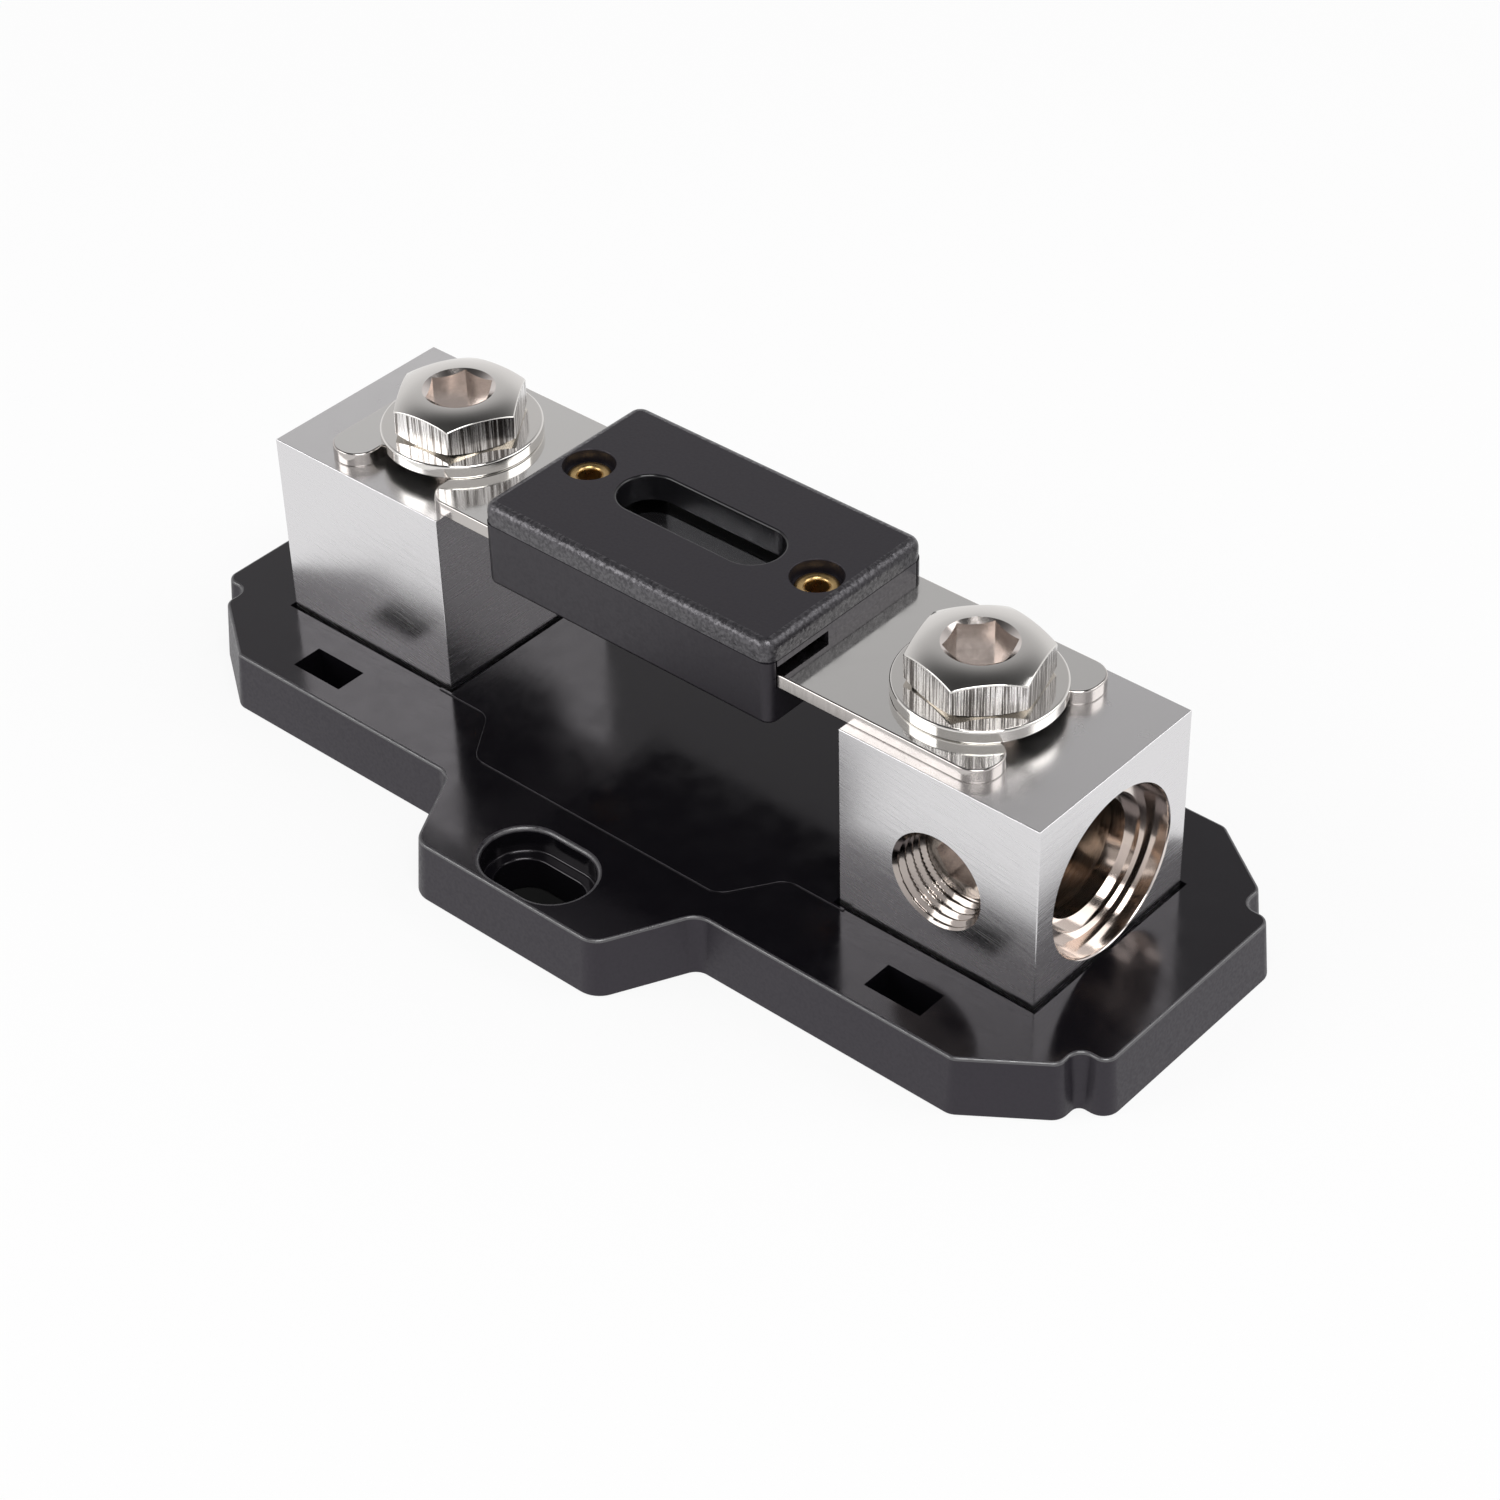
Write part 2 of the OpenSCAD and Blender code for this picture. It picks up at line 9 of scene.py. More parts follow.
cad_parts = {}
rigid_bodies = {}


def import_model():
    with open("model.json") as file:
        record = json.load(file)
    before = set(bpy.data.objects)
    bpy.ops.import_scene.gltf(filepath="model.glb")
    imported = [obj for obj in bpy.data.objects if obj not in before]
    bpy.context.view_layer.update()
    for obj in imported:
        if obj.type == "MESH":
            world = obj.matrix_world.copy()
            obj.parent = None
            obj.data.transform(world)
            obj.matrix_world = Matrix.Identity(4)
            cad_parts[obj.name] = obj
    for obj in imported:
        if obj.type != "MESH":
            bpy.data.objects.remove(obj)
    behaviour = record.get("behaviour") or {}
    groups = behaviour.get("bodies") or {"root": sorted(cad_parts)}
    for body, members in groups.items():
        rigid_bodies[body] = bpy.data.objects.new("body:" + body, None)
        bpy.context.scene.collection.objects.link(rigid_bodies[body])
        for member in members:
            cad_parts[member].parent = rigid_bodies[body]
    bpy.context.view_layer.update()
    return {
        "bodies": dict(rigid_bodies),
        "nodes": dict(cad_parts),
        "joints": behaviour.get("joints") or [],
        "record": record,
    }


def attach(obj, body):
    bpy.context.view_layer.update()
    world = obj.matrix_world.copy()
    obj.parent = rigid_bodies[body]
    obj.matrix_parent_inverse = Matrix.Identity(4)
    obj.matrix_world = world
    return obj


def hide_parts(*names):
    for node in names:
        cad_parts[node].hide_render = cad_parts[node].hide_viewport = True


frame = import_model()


# Studio. The holder stands on a pale table in a white room with a dark ceiling, between three square
# diffusers: above the camera, in front to the left and behind to the right.
MM = 0.001
scene = bpy.context.scene
scene.view_settings.view_transform = "Standard"

view = bpy.data.cameras.new("view")
view.sensor_width = 36
view.lens = 85.707
view.clip_start, view.clip_end = 0.01, 100
camera = bpy.data.objects.new("camera", view)
scene.collection.objects.link(camera)
to_right = Vector((0.75269623, 0.65798946, -0.02232158))
ahead = Vector((-0.52461327, 0.57894811, -0.62417946))
stand = Matrix((to_right, to_right.cross(ahead), -ahead)).transposed().to_4x4()
stand.translation = Vector((186.656, -200.897, 223.834)) * MM
camera.matrix_world = stand
scene.camera = camera


def new_material(name, **values):
    """A node material with these constants on its Principled shader."""
    material = bpy.data.materials.new(name)
    material.use_nodes = True
    for socket, value in values.items():
        socket = socket.replace("_", " ").title().replace("Ior", "IOR")
        value = (*value, 1) if isinstance(value, tuple) else value
        material.node_tree.nodes["Principled BSDF"].inputs[socket].default_value = value
    return material


def add_node(tree, kind, inputs=(), **settings):
    """Outputs of a new shader node. inputs gives its sockets, by name or place, values or sockets."""
    node = tree.nodes.new("ShaderNode" + kind)
    for name, value in settings.items():
        setattr(node, name, value)
    for socket, value in dict(inputs).items():
        if isinstance(value, bpy.types.NodeSocket):
            tree.links.new(value, node.inputs[socket])
        else:
            node.inputs[socket].default_value = value
    return node.outputs


def maths(tree, operation, *inputs):
    """Output of a Math node whose inputs are numbers or sockets."""
    return add_node(tree, "Math", enumerate(inputs), operation=operation)[0]


# Table top: matt white. Seen directly, in metal or through the pane it is lifted to the white of the
# backdrop. Under the holder it is painted black as shade and not lifted, so the slots and holes look deep.
table_reach, table_gap = 20, 2e-5
table_white, painted_shade_black, table_lift = 0.8, 0.01, 0.85
shade_under_plate, shade_under_ears = (0.046, 0.0205), (0.011, 0.029)
table_paint = new_material("table_paint", base_color=(table_white,) * 3, roughness=0.9,
                           specular_ior_level=0.1)
tree = table_paint.node_tree
path = add_node(tree, "LightPath")
seen = maths(tree, "MAXIMUM", path["Is Camera Ray"], path["Is Glossy Ray"])
seen = maths(tree, "MAXIMUM", seen, path["Is Transmission Ray"])
place = add_node(tree, "TexCoord")["Object"]
apart = add_node(tree, "VectorMath", {0: place}, operation="ABSOLUTE")[0]
reach = add_node(tree, "SeparateXYZ", {0: apart})
# the painted shade covers the footprints of the plate and of the ears under the holder
beyond_painted_shade = 1.0
for half_x, half_y in (shade_under_plate, shade_under_ears):
    beyond = maths(tree, "MAXIMUM", maths(tree, "DIVIDE", reach["X"], half_x),
                   maths(tree, "DIVIDE", reach["Y"], half_y))
    beyond_painted_shade = maths(tree, "MULTIPLY", beyond_painted_shade, maths(tree, "GREATER_THAN", beyond, 1.0))
shader = tree.nodes["Principled BSDF"]
# base colour: painted black as shade under the holder, white elsewhere
tree.links.new(maths(tree, "MULTIPLY_ADD", beyond_painted_shade, table_white - painted_shade_black, painted_shade_black),
               shader.inputs["Base Color"])
lifted = maths(tree, "MULTIPLY", maths(tree, "MULTIPLY", seen, beyond_painted_shade), table_lift)
glow = add_node(tree, "Emission")
both = add_node(tree, "MixShader", {0: lifted, 1: shader.outputs[0], 2: glow[0]})
tree.links.new(both[0], tree.nodes["Material Output"].inputs["Surface"])
table_mesh = bpy.data.meshes.new("table_top")
table_mesh.from_pydata([(x * table_reach, y * table_reach, -table_gap)
                        for x, y in ((-1, -1), (1, -1), (1, 1), (-1, 1))], [], [(0, 1, 2, 3)])
table_mesh.materials.append(table_paint)
table = bpy.data.objects.new("table_top", table_mesh)
scene.collection.objects.link(table)

# Room: white walls that darken towards the ceiling, which shows in the domes of the bolts.
greys_up = [(0.0, 0.95), (0.42, 0.85), (0.62, 0.5), (0.76, 0.18), (0.9, 0.06), (1.0, 0.05)]
room = bpy.data.worlds.new("room")
room.use_nodes = True
scene.world = room
tree = room.node_tree
height = add_node(tree, "SeparateXYZ", {0: add_node(tree, "TexCoord")["Generated"]})["Z"]
shade = add_node(tree, "ValToRGB", {0: height})[0]
ramp = shade.node.color_ramp
ramp.interpolation = "B_SPLINE"
for _ in greys_up[2:]:
    ramp.elements.new(0.5)
for stop, (place, grey) in zip(ramp.elements, greys_up):
    stop.position, stop.color = place, (grey, grey * 0.99, grey, 1)
tree.links.new(shade, tree.nodes["Background"].inputs["Color"])


def diffuser(name, place, size, power):
    """A square soft lamp at place that shines at the holder."""
    light = bpy.data.lights.new(name, "AREA")
    light.shape = "RECTANGLE"
    light.size, light.size_y = size
    light.energy = power
    holder = bpy.data.objects.new(name, light)
    holder.location = place
    holder.rotation_euler = (-Vector(place)).to_track_quat("-Z", "Y").to_euler()
    scene.collection.objects.link(holder)


diffuser("key_diffuser", (0.45, -0.4, 1.15), (0.7, 0.7), 10)
diffuser("front_diffuser", (-0.7, -0.9, 0.7), (0.8, 0.6), 4.6)
diffuser("back_diffuser", (0.8, 0.7, 0.95), (0.9, 0.9), 5)


# Base. One compression moulding in black plastic: a plate with two slotted ears, end tabs, a floor
# raised between the blocks, a pocket under each block and four holes for the hooks of a cover. Its
# top is polished in the mould; its side walls are drafted and finely grained.
base_length, base_width = 115.4, 60.8
plate_width, plate_height = 42.4, 6.5
tab_width, tab_length = 26, 3.2
cut_length, cut_width = 8.1, 5.7
ear_root, ear_tip = 33.2, 23.6
draft, draft_angle, rim_round, foot_inset, foot_round = 0.5, 5, 0.3, 0.02, 0.2
rim_highlight_share, lip_highlight_share = 0.85, 0.9
floor_top, floor_round = 6.65, 0.05
floor_half, floor_wide_half, floor_wide_end, floor_end = 11.8, 17.5, 15.8, 26.3
pocket_floor = 5.5
pocket_in, pocket_out, pocket_half = 24.85, 48.35, 11.55
slot_y, slot_travel, slot_radius, slot_chamfer = 25, 4, 2.9, 0.2
recess_radius, recess_floor, recess_round, slot_lip = 4.1, 3.7, 0.25, 0.45
latch_x, latch_y, latch_half_length, latch_half_width = 37.4, 16.5, 3.25, 1.75
hook_relief, hook_relief_top = 1.6, 2.6
block_middle = 36.6
fixing_spots = [(block_middle - 5.6, -8.1), (block_middle + 5.6, 8.1)]
well_radius, well_depth, fixing_hole = 4.2, 2.8, 2.2


def rounded(points, radii, inset=0.0, steps=8):
    """Closed outline with rounded corners, and its outward normals.

    The anticlockwise corner points move inwards by inset along both neighbouring edges, and each is
    replaced by the arc that touches both edges. The arc's radius is the corner's radius, less the
    inset where the outline turns left, plus the inset where it turns right.
    """
    points = np.asarray(points, float)
    ahead = np.roll(points, -1, 0) - points
    ahead /= np.linalg.norm(ahead, axis=1)[:, None]
    behind = np.roll(ahead, 1, 0)
    inward = np.stack([-ahead[:, 1], ahead[:, 0]], 1)
    before = np.roll(inward, 1, 0)
    moved = points + inset * (inward + before) / (1 + (inward * before).sum(1))[:, None]
    turn = np.sign(behind[:, 0] * ahead[:, 1] - behind[:, 1] * ahead[:, 0])
    radius = np.maximum(np.broadcast_to(radii, len(points)) - inset * turn, 0)
    sweep = turn * np.arccos(np.clip((behind * ahead).sum(1), -1, 1))
    middle = ahead - behind
    middle /= np.linalg.norm(middle, axis=1)[:, None]
    centre = moved + middle * (radius / np.cos(sweep / 2))[:, None]
    start = np.arctan2(-before[:, 1] * turn, -before[:, 0] * turn)
    angle = start[:, None] + sweep[:, None] * np.linspace(0, 1, steps + 1)
    spokes = np.stack([np.cos(angle), np.sin(angle)], -1)
    outline = centre[:, None] + radius[:, None, None] * spokes
    return outline.reshape(-1, 2), (spokes * turn[:, None, None]).reshape(-1, 2)


def rectangle(xs, ys):
    """The four corners of a rectangle, anticlockwise."""
    return [(xs[0], ys[0]), (xs[1], ys[0]), (xs[1], ys[1]), (xs[0], ys[1])]


def four_quarters(quarter, radii):
    """Corners of an outline that is the same in all four quadrants, and their radii."""
    quarter = np.asarray(quarter, float)
    mirrored = quarter[::-1] * (-1, 1)
    return np.concatenate([quarter, mirrored, -quarter, -mirrored]), (radii + radii[::-1]) * 2


def arc(centre, radius, start, stop, steps=6):
    """Points of a circular arc between two angles in degrees, both ends included."""
    angle = np.radians(np.linspace(start, stop, steps + 1))
    return np.stack([centre[0] + radius * np.cos(angle), centre[1] + radius * np.sin(angle)], 1)


def ring_points(centre, radius, count=48):
    """A circle's points, anticlockwise from its +u side."""
    return arc(centre, radius, 0, 360, count)[:-1]


def smooth_runs(path, crease=50):
    """Splits an open profile where it turns by more than crease degrees: [(points, normals)].

    The profile is a list of points and arcs. The normal of a stretch is its direction turned a
    quarter right, so the material lies on the left. Inside a run each point takes the mean of the
    two stretches that meet there, weighed by the square of their lengths, so a flat beside a small
    round stays flat.
    """
    path = np.vstack(path)
    along = np.diff(path, axis=0)
    length = np.linalg.norm(along, axis=1)[:, None]
    along /= length
    normal = np.stack([along[:, 1], -along[:, 0]], 1)
    bends = np.nonzero((normal[1:] * normal[:-1]).sum(1) < cos(radians(crease)))[0] + 1
    runs = []
    for part in np.split(np.arange(len(normal)), bends):
        heavy = normal[part] * length[part] ** 2
        mean = np.concatenate([heavy[:1], heavy[1:] + heavy[:-1], heavy[-1:]])
        mean /= np.linalg.norm(mean, axis=1)[:, None]
        runs.append((path[part[0]:part[-1] + 2], mean))
    return runs


def grid(rows, closed=True, paint=0):
    """Patch of four-sided faces over rows of (points, normals); a closed one joins each row's ends."""
    points, normals = (np.stack(part) for part in zip(*rows))
    count, columns = points.shape[:2]
    index = np.arange(count * columns).reshape(count, columns)
    near, far = (index, np.roll(index, -1, 1)) if closed else (index[:, :-1], index[:, 1:])
    faces = np.stack([near[:-1], far[:-1], far[1:], near[1:]], -1).reshape(-1, 4)
    return points.reshape(-1, 3), normals.reshape(-1, 3), faces, paint


def raised(line, heights):
    """Points of a flat line with these heights as their z."""
    return np.column_stack([line, np.broadcast_to(heights, len(line))])


def swept(ring, path, closed=True, paint=0):
    """Patches of a wall that follows an outline.

    ring(inset) gives the outline and its outward normals. path holds (outward offset, height): the
    offset is minus the inset. A point is the moved outline's point at that height, and its normal
    is the profile's outward part times the outline's normal plus its upward part.
    """
    def row(offset, z, out, up):
        line, side = ring(-offset)
        return raised(line, z), raised(side * out, up)
    return [grid([row(*point, *facing) for point, facing in zip(run, slope)], closed, paint)
            for run, slope in smooth_runs(path)]


def painted_above(patches, height, paint):
    """The patches, with the faces whose top is above that height in another paint."""
    return [(points, normals, faces, np.where(points[faces][..., 2].max(1) > height, paint, old))
            for points, normals, faces, old in patches]


def sheet(loops, lift, inner=(), paint=0):
    """Patch of triangles inside closed loops of (u, v), with the inner points as extra corners.

    A triangle belongs to it where a line from its middle crosses the loops an odd number of times.
    lift(uv) gives the points and normals in space.
    """
    loops = [np.asarray(loop, float) for loop in loops]
    loops = [loop[np.abs(loop - np.roll(loop, 1, 0)).max(1) > 1e-4] for loop in loops]
    ends = np.cumsum([0] + [len(loop) for loop in loops])
    edges = [(start + i, start + (i + 1) % (stop - start))
             for start, stop in zip(ends[:-1], ends[1:]) for i in range(stop - start)]
    corners = np.concatenate(loops + ([np.asarray(inner, float)] if len(inner) else []))
    _, _, faces, origin, _, _ = delaunay_2d_cdt(
        [Vector(p) for p in corners.tolist()], edges, [], 0, 1e-6)
    faces = np.array([o[0] if o else -1 for o in origin])[np.array(faces)]
    u, v = corners[faces].mean(1).T[:, :, None]
    start, stop = corners[np.array(edges)].transpose(1, 2, 0)
    spans = (start[1] > v) != (stop[1] > v)
    rise = np.where(stop[1] == start[1], 1, stop[1] - start[1])
    crossing = start[0] + (v - start[1]) / rise * (stop[0] - start[0])
    inside = (spans & (crossing > u)).sum(1) % 2 == 1
    points, normals = lift(corners)
    return [(points, normals, faces[inside], paint)]


def flat(loops, axis, value, side=1, paint=0):
    """A sheet across an axis (0, 1 or 2) at value, that faces up the axis or, with -1, down it."""
    facing = side * np.eye(3)[axis]
    return sheet(loops, lambda uv: (np.insert(uv, axis, value, 1), np.tile(facing, (len(uv), 1))),
                 paint=paint)


def wall(line, low, high, side=1, paint=0):
    """Flat walls from height low to high on the stretches of a line, facing its right or, with -1, left."""
    line = np.asarray(line, float)
    feet = np.stack([line[:-1], line[1:], line[1:], line[:-1]], 1).reshape(-1, 2)
    points = raised(feet, np.tile([low, low, high, high], len(line) - 1))
    along = np.diff(line, axis=0)
    facing = side * raised(np.stack([along[:, 1], -along[:, 0]], 1), 0)
    return [(points, np.repeat(facing, 4, 0), np.arange(len(points)).reshape(-1, 4), paint)]


def turned(path, centre=(0, 0), count=48, paint=0):
    """Patches of a surface of revolution about an upright axis. path holds (radius, height)."""
    def ring(inset):
        return ring_points(centre, -inset, count), ring_points((0, 0), 1, count)
    return swept(ring, path, paint=paint)


def piece(name, patches, materials, body, node):
    """Joins patches in mm into one closed mesh that stands for a CAD node and rides on its body.

    Corners within 0.1 micron are welded, faces that this closes up are left out, and every face is
    wound so that it looks the way its patches' normals point, which stay on its corners.
    """
    starts = np.cumsum([0] + [len(points) for points, _, _, _ in patches])
    points = np.concatenate([p[0] for p in patches]) * MM
    normals = np.concatenate([p[1] for p in patches])
    normals = normals / np.linalg.norm(normals, axis=1)[:, None]
    _, first, weld = np.unique(np.floor(points / 1e-7 + 0.318).astype(np.int64), axis=0,
                               return_index=True, return_inverse=True)
    # a triangle counts as a four-sided face whose last corner is doubled
    corners = np.concatenate([faces[:, [0, 1, 2, -1]] + start
                              for start, (_, _, faces, _) in zip(starts, patches)])
    paints = np.concatenate([np.broadcast_to(paint, len(faces)) for _, _, faces, paint in patches])
    a, b, c, d = points[corners].transpose(1, 0, 2)
    backwards = (np.cross(c - a, d - b) * normals[corners].sum(1)).sum(1) < 0
    corners[backwards] = corners[backwards][:, ::-1]
    spots = weld.reshape(-1)[corners]
    kept = spots != np.roll(spots, 1, 1)
    whole = (kept.sum(1) > 2) & (spots[:, :2] != spots[:, 2:]).all(1)
    corners, spots, kept = corners[whole], spots[whole], kept[whole]
    used, order = np.unique(spots[kept], return_inverse=True)
    faces = np.split(order.reshape(-1), np.cumsum(kept.sum(1))[:-1])
    mesh = bpy.data.meshes.new(name)
    mesh.from_pydata(points[first[used]].tolist(), [], [face.tolist() for face in faces])
    for material in materials:
        mesh.materials.append(material)
    mesh.polygons.foreach_set("material_index", paints[whole])
    mesh.polygons.foreach_set("use_smooth", [True] * len(faces))
    mesh.update()
    mesh.normals_split_custom_set(normals[corners[kept]].tolist())
    thing = bpy.data.objects.new(name, mesh)
    scene.collection.objects.link(thing)
    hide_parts(node)
    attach(thing, body)


plate_corners, plate_radii = four_quarters(
    [(base_length / 2, tab_width / 2),
     (base_length / 2 - tab_length, tab_width / 2),
     (base_length / 2 - tab_length, plate_width / 2 - cut_width),
     (base_length / 2 - tab_length - cut_length, plate_width / 2),
     (ear_root / 2, plate_width / 2),
     (ear_tip / 2, base_width / 2)],
    [1.8, 0.8, 1.8, 1.8, 1.6, 2.8])
floor_corners, floor_radii = four_quarters(
    [(floor_end, floor_half),
     (floor_wide_end + (floor_wide_half - floor_half) * 2 / 3, floor_half),
     (floor_wide_end, floor_wide_half)],
    [0, 2.2, 2.2])


def plate_ring(inset):
    """The plate's outline, moved inwards."""
    return rounded(plate_corners, plate_radii, inset)


def floor_ring(side):
    """ring(inset) for the raised floor's edge behind (1) or in front (-1), down to the pockets' walls."""
    def ring(inset):
        outline = rounded(floor_corners, floor_radii, inset)
        line, out = (np.split(part, 2)[(1 - side) // 2] for part in outline)
        first, last = ((line[k][0], side * pocket_half) for k in (0, -1))
        return np.vstack([first, line, last]), np.vstack([(side, 0), out, (-side, 0)])
    return ring


def slot_ring(side):
    """ring(inset) for a mounting slot; its radius is minus the inset."""
    def ring(inset):
        end = slot_travel / 2 + slot_radius
        line, out = rounded(rectangle((-end, end), (-slot_radius, slot_radius)), slot_radius,
                            slot_radius + inset, 12)
        return line + (0, side * slot_y), out
    return ring


def base_patches():
    """Every surface of the base, as patches.

    The outer wall is the plate's outline carried up a drafted profile with a quarter-round rim. The
    top, the raised floor, the pocket floors and the underside are flat sheets with the loops of the
    slots, latch holes, pockets and wells cut out, and each of these has its own wall. The rim and
    the slots' lips are painted lighter and glossier over their share of the rounding, as a painted
    highlight.
    """
    rim, foot = draft + rim_round, foot_inset + foot_round
    profile = swept(plate_ring, [arc((-foot, foot_round), foot_round, -90, 0, 3),
                                 arc((-rim, plate_height - rim_round), rim_round, draft_angle, 90, 7)],
                    paint=1)
    patches = painted_above(profile, plate_height - rim_highlight_share * rim_round, 2)

    # raised floor: its edge is a small quarter round that runs into the pockets
    edge = np.array([(0, plate_height),
                     *arc((-floor_round, floor_top - floor_round), floor_round, 0, 90, 3)])
    back, front = floor_ring(1), floor_ring(-1)
    for ring in (back, front):
        patches += swept(ring, edge, closed=False)
    x0, x1, half = pocket_in, pocket_out, pocket_half
    patches += flat([np.vstack([back(floor_round)[0], (-x0, half), (-x0, -half),
                                front(floor_round)[0], (x0, -half), (x0, half)])], 2, floor_top)
    cut_out = np.vstack([(x1, -half), (x1, half), back(0)[0],
                         (-x1, half), (-x1, -half), front(0)[0]])

    # slots: rounded lip, recess, ledge and hole
    slots = [slot_ring(-1), slot_ring(1)]
    for ring in slots:
        profile = swept(ring, [
            arc((recess_radius + slot_lip, plate_height - slot_lip), slot_lip, 90, 180, 6),
            arc((recess_radius - recess_round, recess_floor + recess_round), recess_round, 0, -90, 3),
            arc((slot_radius + recess_round, recess_floor - recess_round), recess_round, 90, 180, 3),
            (slot_radius, slot_chamfer), (slot_radius + slot_chamfer, 0)])
        patches += painted_above(profile, plate_height - lip_highlight_share * slot_lip, 2)

    # latch holes, with room for the hook behind each outer edge
    tops, feet = [], []
    for x, y in product((-latch_x, latch_x), (-latch_y, latch_y)):
        side = 1 if y > 0 else -1
        ends = (x - latch_half_length, x + latch_half_length)
        near, far = y - side * latch_half_width, y + side * latch_half_width
        deep = far + side * hook_relief
        tops.append(rectangle(ends, (near, far)))
        feet.append(rectangle(ends, (near, deep)))
        for at, low, high, facing in ((near, 0, plate_height, -side),
                                      (far, hook_relief_top, plate_height, side),
                                      (deep, 0, hook_relief_top, side)):
            patches += wall([(ends[0], at), (ends[1], at)], low, high, facing)
        patches += flat([rectangle(ends, (far, deep))], 2, hook_relief_top, -1)
        for end, facing in zip(ends, (1, -1)):
            patches += flat([[(near, 0), (near, plate_height), (far, plate_height),
                              (far, hook_relief_top), (deep, hook_relief_top), (deep, 0)]],
                            0, end, facing)

    # pockets: floor, end walls, and side walls up to the plate or the raised floor
    for side in (-1, 1):
        spots = [(side * x, side * y) for x, y in fixing_spots]
        patches += flat([rectangle((side * x0, side * x1), (-half, half))]
                        + [ring_points(spot, fixing_hole) for spot in spots], 2, pocket_floor)
        patches += wall([(side * x1, -half), (side * x1, half)], pocket_floor, plate_height, -side)
        patches += wall([(side * x0, -half), (side * x0, half)], pocket_floor, floor_top, side)
        outline = [(x1, pocket_floor), (x1, plate_height),
                   *((floor_end + offset, z) for offset, z in edge),
                   (x0, floor_top), (x0, pocket_floor)]
        for facing in (-1, 1):
            patches += flat([[(side * x, z) for x, z in outline]], 1, -facing * half, facing)
        for spot in spots:
            patches += turned([(fixing_hole, pocket_floor), (fixing_hole, well_depth),
                               (well_radius, well_depth), (well_radius, 0)], spot)
            feet.append(ring_points(spot, well_radius))

    patches += flat([plate_ring(rim)[0], cut_out, *tops]
                    + [ring(-recess_radius - slot_lip)[0] for ring in slots], 2, plate_height)
    patches += flat([plate_ring(foot)[0], *feet]
                    + [ring(-slot_radius - slot_chamfer)[0] for ring in slots], 2, 0, -1)
    return patches


def surface_group(name, detail, roughness):
    """A shader node group that turns a noise field into a normal and a share from 0 to 1.

    Its inputs are Turn (the angles of the pattern), Scale (repeats per metre along each axis) and
    Height (metres from valley to crest).
    """
    group = bpy.data.node_groups.new(name, "ShaderNodeTree")
    for socket, way, kind in (("Turn", "INPUT", "Vector"), ("Scale", "INPUT", "Vector"),
                              ("Height", "INPUT", "Float"), ("Normal", "OUTPUT", "Vector"),
                              ("Share", "OUTPUT", "Float")):
        group.interface.new_socket(socket, in_out=way, socket_type="NodeSocket" + kind)
    given = group.nodes.new("NodeGroupInput").outputs
    result = group.nodes.new("NodeGroupOutput").inputs
    place = add_node(group, "TexCoord")["Object"]
    place = add_node(group, "Mapping", {"Vector": place, "Rotation": given["Turn"]})[0]
    place = add_node(group, "VectorMath", {0: place, 1: given["Scale"]}, operation="MULTIPLY")[0]
    share = add_node(group, "TexNoise", {"Vector": place, "Scale": 1, "Detail": detail,
                                         "Roughness": roughness})["Fac"]
    bump = add_node(group, "Bump", {"Height": share, "Distance": given["Height"]})
    group.links.new(bump[0], result["Normal"])
    group.links.new(share, result["Share"])
    return group


fine_lines = surface_group("fine_lines", 3, 0.6)
fine_grain = surface_group("fine_grain", 1, 0.4)


def finish(name, group, scale, height, roughness, turn=(0, 0, 0), **values):
    """A material with these shader constants, and a surface group that gives its normal.

    Its roughness follows the group's share between the two values of roughness.
    """
    material = new_material(name, **values)
    tree, shader = material.node_tree, material.node_tree.nodes["Principled BSDF"]
    scale = scale if isinstance(scale, tuple) else (scale,) * 3
    field = add_node(tree, "Group", {"Turn": turn, "Scale": scale, "Height": height}, node_tree=group)
    spread = add_node(tree, "MapRange", {"Value": field["Share"], "From Min": 0.3, "From Max": 0.7,
                                         "To Min": roughness[0], "To Max": roughness[1]})
    tree.links.new(spread["Result"], shader.inputs["Roughness"])
    tree.links.new(field["Normal"], shader.inputs["Normal"])
    return material


def plastic(name, colour, scale, height, roughness, **values):
    """Moulded plastic with the fine grain of an etched mould."""
    return finish(name, fine_grain, scale, height, roughness, base_color=colour, **values)


piece("base_moulding", base_patches(), [
    plastic("base_polish", (0.0042, 0.0038, 0.005), 400, 1.5e-6, (0.12, 0.2),
            specular_ior_level=0.5, specular_tint=(1.0, 0.95, 1.0)),
    plastic("base_side", (0.0075, 0.0062, 0.0095), 3000, 4e-6, (0.38, 0.5),
            specular_ior_level=0.5, specular_tint=(0.97, 0.9, 1.0)),
    # rim material: painted lighter and glossier than the top, a painted highlight along the rim and the
    # slots' lips
    plastic("base_rim_highlight", (0.02, 0.018, 0.022), 1500, 8e-6, (0.26, 0.44),
            ior=1.7, specular_ior_level=0.8)], "base", "base_plate")


# Terminal blocks. Each is a sawn and milled length of brass bar, plated bright: a stepped bore for the
# cable from the end, a threaded hole for the set screw from the side and one for the clamp bolt from
# the top. The sides keep the fine lines of the cutter. The left block is the right one, turned round.
block_in, block_out, block_half, block_foot, block_top = 25.3, 47.9, 11.1, 5.5, 27.0
block_edge = 0.1
bore_z, chamber_radius, chamber_start, chamber_end, cone_end = 15.3, 6.25, 4.7, 19.0, 20.56
bore_steps = [(chamber_radius, chamber_start), (6.05, 4.7), (6.05, 3.1), (7.0, 3.1), (7.0, 2.1),
              (7.95, 2.1), (7.95, 2.8), (8.6, 2.8), (8.6, 0.2), (8.8, 0)]
bolt_x, bolt_crest, bolt_groove, bolt_pitch, countersink = 32.5, 3.45, 4.0, 1.25, 4.4
set_crest, set_groove, set_pitch, set_mouth = 4.5, 5.0, 1.0, 5.08
blind_radius, blind_top = 2.0, 9.7
set_x = (block_in + block_out) / 2
